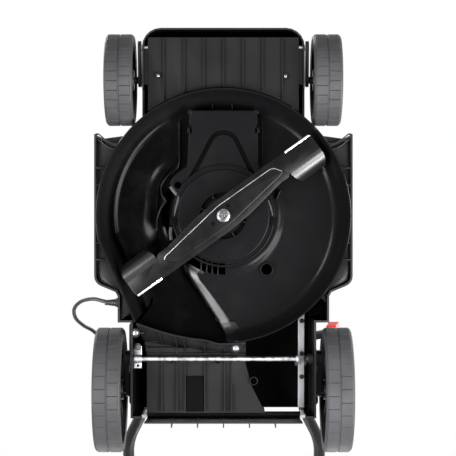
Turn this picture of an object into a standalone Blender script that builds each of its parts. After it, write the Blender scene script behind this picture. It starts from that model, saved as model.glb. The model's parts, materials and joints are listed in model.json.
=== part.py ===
"""Electric lawn mower with a rear discharge deck, modelled at its real size in metres.

All lengths are laid out from the point on the ground under the blade spindle: X to the mower's left,
-Y towards its front and +Z up. The whole mower hangs from one empty, which centres it on the origin.
"""

import math

import bmesh
import bpy
from mathutils import Matrix, Vector

mm = 0.001
deg = math.pi / 180

# Fits
GAP = 0.3 * mm
RUN = 0.5 * mm
WALL = 3.0 * mm
SHEET = 2.5 * mm

# Cutting deck
CUT_HEIGHT = 50 * mm
BLADE_THICK = 3 * mm
DECK_RADIUS = 213 * mm
BLADE_RADIUS = DECK_RADIUS - 14 * mm
RIM_BELOW_BLADE = 8 * mm
RIM_Z = CUT_HEIGHT - RIM_BELOW_BLADE
BASE_RADIUS = 79 * mm
BASE_Z = 75 * mm
BASE_THICK = 3 * mm
BELL_INNER = 90 * mm
BELL_OUTER = 100 * mm
CEILING_LOW = 92 * mm
CEILING_HIGH = 135.7 * mm
CEILING_REACH = DECK_RADIUS - 25 * mm
# The scroll's own points are drawn on a deck of 213 mm and grow with it.
SCROLL = DECK_RADIUS / 213
OUTLET_LEFT = Vector((-147, 182)) * SCROLL
OUTLET_RIGHT = Vector((4, 212)) * SCROLL
OUTLET_MIDDLE = Vector((-78, 214)) * SCROLL
STRAIGHT_START = Vector((-208, 41)) * SCROLL
RAMP_INNER = Vector((-66, 92)) * SCROLL
RAMP_OUTER = Vector((3.5, 203)) * SCROLL

# Body shell
SKIRT_Z = 70 * mm
NOSE_Z = 56 * mm
SHELF_Z = 142 * mm
BODY_TOP = 205 * mm
FRONT_WHEEL_Y = -DECK_RADIUS - 18 * mm
REAR_WHEEL_Y = DECK_RADIUS + 87 * mm
BODY_FRONT = FRONT_WHEEL_Y - 87 * mm
BODY_REAR = DECK_RADIUS + 132 * mm
NOSE_HALF = 138 * mm
NOSE_ROUND = 32 * mm
SHELF_HALF = DECK_RADIUS + 7 * mm
SHELF_FRONT = -DECK_RADIUS + 74 * mm
SHELF_REAR = DECK_RADIUS - 108 * mm
HIP_HALF = DECK_RADIUS - 33 * mm
HIP_REAR = DECK_RADIUS - 31 * mm
TAIL_HALF = 158 * mm
WAIST_HALF = TAIL_HALF - 6 * mm
HOOD_HEIGHT = 108 * mm
HOOD_HALF = 126 * mm
HOOD_FRONT = -186 * mm
HOOD_REAR = 150 * mm
HOOD_OPENING = 104 * mm

# Wheels and their cranks
FRONT_WHEEL_RADIUS = 78 * mm
REAR_WHEEL_RADIUS = 107 * mm
FRONT_WHEEL_INNER = NOSE_HALF + 12.2 * mm
REAR_WHEEL_INNER = TAIL_HALF + 12 * mm
WHEEL_WIDTH = 50 * mm
TREAD_BLOCKS = 30
TREAD_DEPTH = 3 * mm
HUB_RECESS = 4 * mm
CRANK_REACH = 54 * mm
CRANK_RISE = 9 * mm
CRANK_THROW = 50 * mm
CRANK_THICK = 6 * mm
CRANK_HALF_WIDTH = 12 * mm
HUB_BOSS_RADIUS = 15 * mm
STUB_RADIUS = 6 * mm
ROD_RADIUS = 4 * mm
FRONT_ROD_RADIUS = 5 * mm
PIN_RADIUS = 3 * mm
CRANK_LEAN = 12 * deg
THROW_PLATE = 3 * mm
LINK_WEB_X = TAIL_HALF - 27.6 * mm
FRONT_WEB_X = NOSE_HALF - 19.6 * mm
REAR_THROW_X = LINK_WEB_X - 4.4 * mm
LINK_WIDTH = 10.3 * mm
LINK_HEIGHT = 14 * mm
LINK_REAR_END = BODY_REAR - 10 * mm
BUSH_STUB_RADIUS = 6.5 * mm

# Motor
SHAFT_RADIUS = 8 * mm
CAN_RADIUS = 64 * mm
CAN_TOP = 214 * mm
STATOR_RADIUS = 60 * mm
STATOR_BORE = 36 * mm
STATOR_Z = 104 * mm
STATOR_HEIGHT = 56 * mm
BEARING_RADIUS = 17 * mm
BEARING_WIDTH = 11 * mm
FAN_RADIUS = 52 * mm

# Handles
FOLD_Y = BODY_REAR - 40 * mm
FOLD_Z = BODY_TOP + 53 * mm
HANDLE_SLOPE = 48.5 * deg
LOWER_LENGTH = 420 * mm
HANDLE_LENGTH = 1050 * mm
TUBE_RADIUS = 11 * mm
LOWER_FOOT_X = WAIST_HALF - 7 * mm
LOWER_TOP_X = LOWER_FOOT_X + 40 * mm
LEAD_RADIUS = 3.3 * mm
GRIP_RADIUS = 16 * mm
KNOB_RADIUS = 16 * mm

FRONT_PIVOT = Vector((0, FRONT_WHEEL_Y - CRANK_REACH, FRONT_WHEEL_RADIUS - CRANK_RISE))
REAR_PIVOT = Vector((0, REAR_WHEEL_Y - CRANK_REACH, REAR_WHEEL_RADIUS - CRANK_RISE))
THROW = CRANK_THROW * Vector((0, math.sin(CRANK_LEAN), math.cos(CRANK_LEAN)))
LOWER_FOLD = Vector((0, FOLD_Y, FOLD_Z))
HANDLE_RUN = Vector((0, math.cos(HANDLE_SLOPE), math.sin(HANDLE_SLOPE)))
HANDLE_FACE = Vector((0, -math.sin(HANDLE_SLOPE), math.cos(HANDLE_SLOPE)))
UPPER_FOLD = LOWER_FOLD + HANDLE_RUN * LOWER_LENGTH
GRIP_CENTRE = LOWER_FOLD + HANDLE_RUN * HANDLE_LENGTH
UPPER_X = LOWER_TOP_X + 2 * TUBE_RADIUS + GAP
REAR_END = GRIP_CENTRE.y + GRIP_RADIUS
MOWER_Y = -(BODY_FRONT + REAR_END) / 2
AXIS_X = Vector((1, 0, 0))
AXIS_Z = Vector((0, 0, 1))

for old in list(bpy.data.objects):
    bpy.data.objects.remove(old, do_unlink=True)

parts = bpy.data.collections.new("electric_lawn_mower")
cutters = bpy.data.collections.new("mower_cutters")
bpy.context.scene.collection.children.link(parts)
bpy.context.scene.collection.children.link(cutters)
mower = bpy.data.objects.new("mower_frame", None)
mower.location = (0, MOWER_Y, 0)
parts.objects.link(mower)


def material(name, colour, roughness, metallic=0.0):
    made = bpy.data.materials.new(name)
    made.use_nodes = True
    shader = made.node_tree.nodes["Principled BSDF"]
    shader.inputs["Base Color"].default_value = (*colour, 1)
    shader.inputs["Roughness"].default_value = roughness
    shader.inputs["Metallic"].default_value = metallic
    made.diffuse_color = (*colour, 1)
    return made


BLACK = material("black_plastic", (0.020, 0.020, 0.022), 0.42)
GREY = material("grey_plastic", (0.052, 0.052, 0.056), 0.5)
RED = material("red_plastic", (0.42, 0.015, 0.012), 0.3)
TREAD = material("wheel_plastic", (0.075, 0.075, 0.08), 0.7)
ZINC = material("zinc", (0.72, 0.72, 0.74), 0.28, 1)
GALVANISED = material("galvanised", (0.55, 0.56, 0.58), 0.45, 1)
STEEL = material("steel", (0.5, 0.5, 0.52), 0.3, 1)
PAINTED = material("black_paint", (0.018, 0.018, 0.02), 0.35)
IRON = material("laminations", (0.2, 0.19, 0.19), 0.5, 1)
CASING = material("motor_casing", (0.3, 0.31, 0.32), 0.4, 1)
PALE = material("pale_plastic", (0.6, 0.6, 0.58), 0.5)
FOAM = material("foam", (0.03, 0.03, 0.03), 0.9)
CORD = material("cord", (0.015, 0.015, 0.016), 0.6)


def put(name, bm, finish=None, origin=None, parent=None):
    """A mesh object from a bmesh laid out in the mower's own space; origin moves its origin, not its shape."""
    mesh = bpy.data.meshes.new(name)
    bmesh.ops.recalc_face_normals(bm, faces=bm.faces)
    bm.to_mesh(mesh)
    bm.free()
    made = bpy.data.objects.new(name, mesh)
    if origin is not None:
        mesh.transform(Matrix.Translation(-Vector(origin)))
        made.location = origin
    made.parent = parent or mower
    if finish is None:
        cutters.objects.link(made)
        made.hide_render = True
        made.display_type = "WIRE"
    else:
        mesh.materials.append(finish)
        parts.objects.link(made)
    return made


def smooth(obj, angle=35):
    obj.data.shade_smooth()
    obj.data.set_sharp_from_angle(angle=angle * deg)
    return obj


def box(x0, x1, y0, y1, z0, z1, into=None):
    bm = into or bmesh.new()
    size = Matrix.Diagonal((x1 - x0, y1 - y0, z1 - z0, 1))
    centre = Matrix.Translation(((x0 + x1) / 2, (y0 + y1) / 2, (z0 + z1) / 2))
    bmesh.ops.create_cube(bm, size=1, matrix=centre @ size)
    return bm


def rod(start, end, radius, sides=20, end_radius=None, into=None):
    """A cylinder, or a cone, between two points."""
    bm = into or bmesh.new()
    start, end = Vector(start), Vector(end)
    along = end - start
    turn = along.to_track_quat("Z", "Y").to_matrix().to_4x4()
    far = radius if end_radius is None else end_radius
    bmesh.ops.create_cone(
        bm,
        cap_ends=True,
        segments=sides,
        radius1=radius,
        radius2=far,
        depth=along.length,
        matrix=Matrix.Translation((start + end) / 2) @ turn,
    )
    return bm


def plate(outline, thick_along, start, end, into=None):
    """A flat outline drawn across an axis ("X" or "Z") and extruded along it from start to end."""
    bm = into or bmesh.new()
    if thick_along == "X":
        corners = [bm.verts.new((start, a, b)) for a, b in outline]
        shift = Vector((end - start, 0, 0))
    else:
        corners = [bm.verts.new((a, b, start)) for a, b in outline]
        shift = Vector((0, 0, end - start))
    face = bm.faces.new(corners)
    grown = bmesh.ops.extrude_face_region(bm, geom=[face])
    moved = [v for v in grown["geom"] if isinstance(v, bmesh.types.BMVert)]
    bmesh.ops.translate(bm, verts=moved, vec=shift)
    return bm


def arc(centre, radius, start, end, steps):
    """Points on a circle from one angle to another, in degrees."""
    turn = [start + (end - start) * i / steps for i in range(steps + 1)]
    return [(centre[0] + radius * math.cos(a * deg), centre[1] + radius * math.sin(a * deg)) for a in turn]


def capsule(a, b, radius_a, radius_b, steps=8):
    """A plate outline round two points, with a round end at each."""
    way = math.degrees(math.atan2(b[1] - a[1], b[0] - a[0]))
    return arc(b, radius_b, way - 90, way + 90, steps) + arc(a, radius_a, way + 90, way + 270, steps)


def inset(outline, amount):
    """The outline moved inwards by an equal amount all round; it runs counter-clockwise."""
    moved = []
    count = len(outline)
    for i, point in enumerate(outline):
        here = Vector(point)
        before = (here - Vector(outline[i - 1])).normalized()
        after = (Vector(outline[(i + 1) % count]) - here).normalized()
        side = Vector((-before.y - after.y, before.x + after.x))
        side.normalize()
        lean = max(0.45, side.dot(Vector((-before.y, before.x))))
        moved.append(tuple(here + side * amount / lean))
    return moved


def loft(rings, closed=True, capped=True, into=None):
    """A skin through rings of equally many points."""
    bm = into or bmesh.new()
    made = [[bm.verts.new(p) for p in ring] for ring in rings]
    count = len(rings[0])
    last = count if closed else count - 1
    for low, high in zip(made, made[1:]):
        for i in range(last):
            j = (i + 1) % count
            bm.faces.new((low[i], low[j], high[j], high[i]))
    if capped:
        bm.faces.new(list(reversed(made[0])))
        bm.faces.new(made[-1])
    return bm


def level(outline, z):
    return [(x, y, z) for x, y in outline]


def boolean(obj, other, operation):
    step = obj.modifiers.new(operation.lower(), "BOOLEAN")
    step.operation = operation
    step.object = other
    step.solver = "EXACT"
    return obj


def cut(obj, bm, name):
    return boolean(obj, put(name, bm), "DIFFERENCE")


def join(obj, bm, name):
    return boolean(obj, put(name, bm), "UNION")


def soften(obj, width, segments=2, angle=40):
    step = obj.modifiers.new("rounded", "BEVEL")
    step.width = width
    step.segments = segments
    step.limit_method = "ANGLE"
    step.angle_limit = angle * deg
    step.harden_normals = False
    return obj


def turned(name, profile, finish, centre, axis="Z", steps=24, parent=None, closed=False):
    """A turned solid from (radius, height) points that run down its outer side."""
    area = sum(a[0] * b[1] - b[0] * a[1] for a, b in zip(profile, profile[1:] + profile[:1]))
    if area > 0:
        profile = profile[::-1]
    mesh = bpy.data.meshes.new(name)
    edges = [(i, i + 1) for i in range(len(profile) - 1)]
    if closed:
        edges.append((len(profile) - 1, 0))
    mesh.from_pydata([(r, 0, h) for r, h in profile], edges, [])
    made = bpy.data.objects.new(name, mesh)
    step = made.modifiers.new("turned", "SCREW")
    step.steps = steps
    step.render_steps = steps
    step.use_merge_vertices = True
    step.merge_threshold = 0.00001
    step.use_smooth_shade = True
    made.location = centre
    if axis == "X":
        made.rotation_euler = (0, math.pi / 2, 0)
    made.parent = parent or mower
    if finish is None:
        cutters.objects.link(made)
        made.hide_render = True
        made.display_type = "WIRE"
    else:
        mesh.materials.append(finish)
        parts.objects.link(made)
    return made


def tube(name, points, radius, finish, origin, resolution=3):
    """A round tube through the points, as a curve with a bevel and filled ends."""
    curve = bpy.data.curves.new(name, "CURVE")
    curve.dimensions = "3D"
    curve.bevel_depth = radius
    curve.bevel_resolution = resolution
    curve.use_fill_caps = True
    line = curve.splines.new("POLY")
    line.points.add(len(points) - 1)
    for spot, point in zip(line.points, points):
        spot.co = (*(Vector(point) - Vector(origin)), 1)
    curve.materials.append(finish)
    made = bpy.data.objects.new(name, curve)
    made.location = origin
    made.parent = mower
    parts.objects.link(made)
    return made


def rounded_path(corners, radius, steps=5):
    """The corner points of a bent tube with each inner corner rounded."""
    corners = [Vector(c) for c in corners]
    path = [corners[0]]
    for before, here, after in zip(corners, corners[1:], corners[2:]):
        back = (before - here).normalized()
        on = (after - here).normalized()
        reach = min(radius, (before - here).length * 0.45, (after - here).length * 0.45)
        for i in range(steps + 1):
            t = i / steps
            path.append(here + back * reach * (1 - t) ** 2 + on * reach * t**2)
    path.append(corners[-1])
    return path


def smooth_route(points, count):
    """Evenly placed points on one smooth curve through the route's own points."""
    points = [Vector(p) for p in points]
    ends = [points[0] * 2 - points[1]] + points + [points[-1] * 2 - points[-2]]
    fine = []
    for a, b, c, d in zip(ends, ends[1:], ends[2:], ends[3:]):
        for i in range(12):
            t = i / 12
            fine.append(
                0.5
                * (2 * b + (c - a) * t + (2 * a - 5 * b + 4 * c - d) * t**2 + (3 * b - a - 3 * c + d) * t**3)
            )
    fine.append(points[-1])
    walked = [0.0]
    for a, b in zip(fine, fine[1:]):
        walked.append(walked[-1] + (b - a).length)
    route = []
    at = 0
    for i in range(count):
        want = walked[-1] * i / (count - 1)
        while at < len(fine) - 2 and walked[at + 1] < want:
            at += 1
        share = (want - walked[at]) / max(walked[at + 1] - walked[at], 1e-9)
        route.append(fine[at].lerp(fine[at + 1], min(share, 1)))
    return route


# Scroll deck


def angle_of(point):
    return math.degrees(math.atan2(point.y, point.x))


RAMP_START = angle_of(RAMP_OUTER)


def seam_angle(radius):
    """The angle at which a ring of the scroll meets the ramp edge."""
    way = RAMP_OUTER - RAMP_INNER
    low, high = 0.0, 1.0
    if radius <= RAMP_INNER.length:
        return angle_of(RAMP_INNER)
    if radius >= RAMP_OUTER.length:
        return RAMP_START
    for _ in range(30):
        middle = (low + high) / 2
        if (RAMP_INNER + way * middle).length < radius:
            low = middle
        else:
            high = middle
    return angle_of(RAMP_INNER + way * low)


def ring_angle(radius, travel):
    """The angle of a ring point after a share of the turn from the ramp, against the clippings' way round."""
    lean = seam_angle(radius) - RAMP_START
    return RAMP_START + lean * abs(2 * travel - 1) ** 2 - 360 * travel


def ceiling(travel):
    return CEILING_LOW + (CEILING_HIGH - CEILING_LOW) * travel**1.5


def ceiling_at(x, y):
    """The height of the deck's ceiling over a point away from the ramp."""
    point = Vector((x, y))
    lean = seam_angle(point.length) - RAMP_START
    travel = (RAMP_START - angle_of(point)) % 360 / 360
    for _ in range(6):
        travel = (RAMP_START + lean * abs(2 * travel - 1) ** 2 - angle_of(point)) % 360 / 360
    return ceiling(travel)


def outlet_curve(share):
    """The lower lip of the outlet, from its left corner to the ramp's foot."""
    near = OUTLET_LEFT.lerp(OUTLET_MIDDLE, share)
    return near.lerp(OUTLET_MIDDLE.lerp(OUTLET_RIGHT, share), share)


def rim_radius(angle):
    """The rim follows a circle, then runs straight to the outlet's left corner and along its lip."""
    angle = (angle + 180) % 360 - 180
    start = angle_of(STRAIGHT_START)
    corner = angle_of(OUTLET_LEFT)
    if corner <= angle <= start:
        way = OUTLET_LEFT - STRAIGHT_START
        ray = Vector((math.cos(angle * deg), math.sin(angle * deg)))
        return STRAIGHT_START.cross(way) / ray.cross(way)
    if RAMP_START < angle < corner:
        share = (corner - angle) / (corner - RAMP_START)
        return outlet_curve(share).length
    return DECK_RADIUS


def deck_surface(steps, shelf_rise=0.0):
    """The underside of the scroll: seat, bell wall, rising ceiling, sloped skirt and rim."""
    seat_z = BASE_Z + BASE_THICK + GAP
    bm = bmesh.new()
    columns = []
    for i in range(steps + 1):
        travel = i / steps
        top = ceiling(travel)
        edge = rim_radius(RAMP_START - 360 * travel)
        reach = CEILING_REACH + edge - DECK_RADIUS
        fall = top - RIM_Z
        profile = [
            (BASE_RADIUS - 8 * mm, seat_z),
            (BELL_INNER, seat_z),
            (BELL_OUTER, top),
            (RAMP_INNER.length + 4 * mm, top + shelf_rise),
            ((RAMP_INNER.length + reach) / 2, top + shelf_rise),
            (reach - 6 * mm, top),
            (reach + 5 * mm, top - 0.16 * fall),
            (edge - 3 * mm, RIM_Z + 0.22 * fall),
            (edge, RIM_Z),
        ]
        column = []
        for radius, z in profile:
            angle = ring_angle(radius, travel) * deg
            column.append(bm.verts.new((radius * math.cos(angle), radius * math.sin(angle), z)))
        columns.append(column)
    for before, after in zip(columns, columns[1:]):
        for i in range(len(before) - 1):
            bm.faces.new((before[i], before[i + 1], after[i + 1], after[i]))
    first, last = columns[0], columns[-1]
    for i in range(1, len(first) - 1):
        bm.faces.new((last[i], last[i + 1], first[i + 1], first[i]))
    bmesh.ops.remove_doubles(bm, verts=bm.verts, dist=0.00002)
    return bm


def make_deck():
    deck = put("deck", deck_surface(54), BLACK)
    under = sum(face.normal.z * face.area for face in deck.data.polygons)
    wall = deck.modifiers.new("wall", "SOLIDIFY")
    wall.thickness = WALL
    wall.offset = -1 if under < 0 else 1
    window = [
        (OUTLET_RIGHT.x - 5 * mm, OUTLET_RIGHT.y - 32 * mm),
        (OUTLET_RIGHT.x + 1 * mm, OUTLET_RIGHT.y - 2 * mm),
        (OUTLET_RIGHT.x, DECK_RADIUS + 49 * mm),
        (OUTLET_LEFT.x - 25 * mm, DECK_RADIUS + 49 * mm),
        (OUTLET_LEFT.x - 4 * mm, OUTLET_LEFT.y + 2 * mm),
        (OUTLET_LEFT.x + 28 * mm, OUTLET_LEFT.y - 22 * mm),
    ]
    cut(deck, plate(window, "Z", RIM_Z - 12 * mm, CEILING_HIGH - 5 * mm), "outlet_cutter")
    for number, (x, y) in enumerate(((150, 60), (150, -60), (-120, -90), (40, -165))):
        x, y = x * SCROLL, y * SCROLL
        low = ceiling_at(x, y) + WALL / 2
        post = rod((x, y, low), (x, y, SHELF_Z - WALL - GAP), 7 * mm, 12)
        join(deck, post, f"deck_post_{number}")
    return deck


# Body shell


def mirror_outline(right_half):
    """A closed outline from its right half, which runs from the front middle to the rear middle."""
    left = [(-x, y) for x, y in reversed(right_half) if x > 0]
    return right_half + left


def shelf_outline():
    half = [(0, BODY_FRONT)]
    half += arc((NOSE_HALF - NOSE_ROUND, BODY_FRONT + NOSE_ROUND), NOSE_ROUND, -90, 0, 5)
    half += [(NOSE_HALF, SHELF_FRONT), (NOSE_HALF + 12 * mm, SHELF_FRONT + 14 * mm)]
    half += [(SHELF_HALF - 36 * mm, SHELF_FRONT + 18 * mm), (SHELF_HALF, SHELF_FRONT)]
    half += arc((SHELF_HALF - 18 * mm, SHELF_REAR - 2 * mm), 18 * mm, 0, 70, 4)
    half += [
        (HIP_HALF + 4 * mm, SHELF_REAR + 25 * mm),
        (HIP_HALF, SHELF_REAR + 32 * mm),
        (HIP_HALF, HIP_REAR),
        (TAIL_HALF, HIP_REAR),
        (TAIL_HALF, BODY_REAR),
        (0, BODY_REAR),
    ]
    return mirror_outline(half)


def waist_outline():
    front_round = 50 * mm
    front = BODY_FRONT + 56 * mm
    half = [(0, front)]
    half += arc((NOSE_HALF - 2 * mm - front_round, front + front_round), front_round, -90, 0, 6)
    half += [(NOSE_HALF - 2 * mm, SHELF_FRONT - 21 * mm), (WAIST_HALF, SHELF_FRONT + 21 * mm)]
    half += [(WAIST_HALF, BODY_REAR), (0, BODY_REAR)]
    return mirror_outline(half)


def tier(outline, low, high, draft):
    """A solid block with slightly drafted walls and a chamfered top edge."""
    chamfer = 9 * mm
    rings = [
        level(outline, low),
        level(inset(outline, draft), high - chamfer),
        level(inset(outline, draft + 0.3 * chamfer), high - 0.3 * chamfer),
        level(inset(outline, draft + chamfer), high),
    ]
    return loft(rings)


def make_shell():
    shelf, waist = shelf_outline(), waist_outline()
    shell = put("body_shell", tier(shelf, SKIRT_Z, SHELF_Z, 2 * mm), BLACK)
    join(shell, tier(waist, SHELF_Z - 12 * mm, BODY_TOP, 2 * mm), "waist_block")
    corner = arc((NOSE_HALF - NOSE_ROUND, BODY_FRONT + NOSE_ROUND), NOSE_ROUND, -90, 0, 5)
    nose = [(-x, y) for x, y in reversed(corner)] + corner + [(NOSE_HALF, FRONT_WHEEL_Y + 17 * mm), (-NOSE_HALF, FRONT_WHEEL_Y + 17 * mm)]
    join(shell, plate(inset(nose, GAP), "Z", NOSE_Z, SKIRT_Z + 6 * mm), "nose_cheeks")
    hollow = tier(inset(shelf, WALL), SKIRT_Z - 20 * mm, SHELF_Z - WALL, 2 * mm)
    cut(shell, hollow, "shelf_hollow")
    cut(shell, tier(inset(waist, WALL), SHELF_Z - 20 * mm, BODY_TOP - WALL, 2 * mm), "waist_hollow")
    opening = rod((0, 0, BODY_TOP - 20 * mm), (0, 0, BODY_TOP + 20 * mm), HOOD_OPENING, 32)
    cut(shell, opening, "motor_opening")
    for side in (-1, 1):
        for y in (-81 * mm, -52 * mm, -2 * mm, 47 * mm, 75 * mm):
            near = max(math.sqrt((DECK_RADIUS + 1 * mm) ** 2 - y**2), DECK_RADIUS - 8 * mm)
            rings = []
            for far, z in ((SHELF_HALF - 1.5 * mm, SKIRT_Z + 2 * mm), (SHELF_HALF - 4 * mm, SHELF_Z - 8 * mm)):
                x0, x1 = sorted((side * near, side * far))
                rings.append(level([(x0, y - 1 * mm), (x1, y - 1 * mm), (x1, y + 1 * mm), (x0, y + 1 * mm)], z))
            join(shell, loft(rings), f"shelf_rib_{side}_{round(y / mm)}")
    saddle_x = TAIL_HALF - 17 * mm
    saddle_z = REAR_PIVOT.z + 0.8 * mm
    saddle = box(-TAIL_HALF + 1 * mm, -saddle_x, REAR_PIVOT.y - 22 * mm, REAR_PIVOT.y + 16 * mm, saddle_z, SHELF_Z)
    join(shell, saddle, "saddle_block")
    groove = rod((-TAIL_HALF - 6 * mm, *REAR_PIVOT.yz), (-saddle_x + 8 * mm, *REAR_PIVOT.yz), ROD_RADIUS + RUN, 16)
    cut(shell, groove, "rod_groove")
    for side in (-1, 1):
        wall_hole = rod(
            (side * (TAIL_HALF + 6 * mm), *REAR_PIVOT.yz),
            (side * (TAIL_HALF - 6 * mm), *REAR_PIVOT.yz),
            BUSH_STUB_RADIUS + 3 * mm if side > 0 else ROD_RADIUS + RUN,
            20,
        )
        cut(shell, wall_hole, f"rear_rod_hole_{side}")
        front_hole = rod(
            (side * (NOSE_HALF + 8 * mm), *FRONT_PIVOT.yz),
            (side * (NOSE_HALF - 12 * mm), *FRONT_PIVOT.yz),
            FRONT_ROD_RADIUS + RUN,
            20,
        )
        cut(shell, front_hole, f"front_rod_hole_{side}")
    clear = 1 * mm
    room = [
        level(arc((0, 0), DECK_RADIUS + 3 * mm, 0, 360 - 10, 35), RIM_Z - 12 * mm),
        level(arc((0, 0), DECK_RADIUS + 3 * mm, 0, 360 - 10, 35), RIM_Z + 8 * mm),
        level(arc((0, 0), CEILING_REACH + 15 * mm, 0, 360 - 10, 35), SHELF_Z - WALL - 12 * mm),
        level(arc((0, 0), CEILING_REACH + 10 * mm, 0, 360 - 10, 35), SHELF_Z - WALL - clear / 5),
    ]
    cut(shell, loft(room), "deck_room")
    chute_x = TAIL_HALF - 17 * mm
    outlet = box(-chute_x, chute_x, BODY_REAR - 12 * mm, BODY_REAR + 12 * mm, SKIRT_Z - 20 * mm, BODY_TOP - 5 * mm)
    cut(shell, outlet, "rear_outlet")
    gland = rod((-HIP_HALF - 9 * mm, *GLAND.yz), (-HIP_HALF + 12 * mm, *GLAND.yz), 5.2 * mm, 16)
    cut(shell, gland, "gland_hole")
    return shell


GLAND = Vector((-HIP_HALF, HIP_REAR - 32 * mm, 112 * mm))


def hood_ring(z, amount, half, front, rear, corner):
    x, y0, y1 = half - amount, front + amount * 1.3, rear - amount
    r = corner
    ring = arc((x - r, y0 + r), r, -90, 0, 5) + arc((x - r, y1 - r), r, 0, 90, 5)
    ring += arc((-x + r, y1 - r), r, 90, 180, 5) + arc((-x + r, y0 + r), r, 180, 270, 5)
    return level(ring, z)


def hood_block(shrink):
    """The hood's outer form, or its hollow when it is shrunk by the wall."""
    base = BODY_TOP + GAP
    corner = 60 * mm - shrink
    steps = ((0, 0), (0.30, 3), (0.62, 12), (0.84, 26), (0.96, 42), (1.0, 58))
    rings = []
    for share, amount in steps:
        z = base + (HOOD_HEIGHT - shrink) * share
        if shrink and share == 0:
            z -= 10 * mm
        ring = hood_ring(
            z, amount * mm + shrink, HOOD_HALF, HOOD_FRONT, HOOD_REAR, corner - amount * 0.25 * mm
        )
        rings.append(ring)
    return loft(rings)


def make_hood():
    hood = put("motor_hood", hood_block(0), RED)
    cut(hood, hood_block(WALL), "hood_hollow")
    for side in (-1, 1):
        for number in range(5):
            y = (-62 + 24 * number) * mm
            x0, x1 = sorted((side * (HOOD_HALF - 30 * mm), side * (HOOD_HALF + 10 * mm)))
            slot = box(x0, x1, y, y + 10 * mm, BODY_TOP + 18 * mm, BODY_TOP + 52 * mm)
            cut(hood, slot, f"hood_slot_{side}_{number}")
    return smooth(hood)


def make_carry_handle():
    foot = 62 * mm
    y = BODY_FRONT + 92 * mm
    base = BODY_TOP + GAP
    grip = rounded_path(
        [(-foot, y, base), (-foot, y, base + 40 * mm), (foot, y, base + 40 * mm), (foot, y, base)], 22 * mm
    )
    return tube("carry_handle", grip, 8 * mm, BLACK, (0, y, base))


def make_front_panel():
    """The ribbed cover under the front axle; its rear edge follows the deck's rim."""
    half, front = NOSE_HALF - 10 * mm, BODY_FRONT + 16 * mm
    low, thick = 60 * mm, 2.6 * mm
    reach = DECK_RADIUS + 5 * mm
    start = -math.degrees(math.acos(half / reach))
    edge = arc((0, 0), reach, -180 - start, start, 14)
    outline = [(-half, front), (half, front)] + list(reversed(edge))
    panel = put("front_panel", plate(outline, "Z", low, low + thick), GREY)
    for x in (-101, -66.4, -33, 0, 33, 66.4, 100):
        end = -math.sqrt((reach + 1 * mm) ** 2 - (abs(x * mm) + 1 * mm) ** 2)
        rib = box(x * mm - 1 * mm, x * mm + 1 * mm, front + 2 * mm, end - 1 * mm, low - 5 * mm, low + 1 * mm)
        join(panel, rib, f"front_rib_{round(x)}")
    for x in (-half + 4 * mm, half - 4 * mm):
        toe = box(
            min(x, math.copysign(NOSE_HALF - WALL - 0.7 * mm, x)),
            max(x, math.copysign(NOSE_HALF - WALL - 0.7 * mm, x)),
            FRONT_PIVOT.y + 2 * mm,
            FRONT_WHEEL_Y + 9 * mm,
            low + 0.6 * mm,
            low + 2.2 * mm,
        )
        join(panel, toe, f"front_toe_{round(x / mm)}")
    return panel


# Discharge chute

FLOOR_LIP_Z = 45 * mm
FLOOR_Z = 108 * mm
CHUTE_END = BODY_REAR - 4 * mm
CHUTE_LEFT = [
    tuple(OUTLET_LEFT),
    (-136.5 * mm, DECK_RADIUS + 5 * mm),
    (-132.5 * mm, DECK_RADIUS + 27 * mm),
    (-132.5 * mm, DECK_RADIUS + 78 * mm),
    (-132.5 * mm, CHUTE_END),
]
CHUTE_RIGHT = [
    (OUTLET_RIGHT.x + 4 * mm, OUTLET_RIGHT.y + 7 * mm),
    (19.6 * mm, DECK_RADIUS + 27 * mm),
    (24 * mm, DECK_RADIUS + 41 * mm),
    (47 * mm, DECK_RADIUS + 78 * mm),
    (72 * mm, CHUTE_END),
]


def outlet_line(x, outwards):
    """The Y of the outlet's lip over a given X, moved outwards by an amount."""
    share = min(max((x - OUTLET_LEFT.x) / (OUTLET_RIGHT.x - OUTLET_LEFT.x), 0), 1)
    point = outlet_curve(share)
    return point.y * (1 + outwards / point.length)


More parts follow.
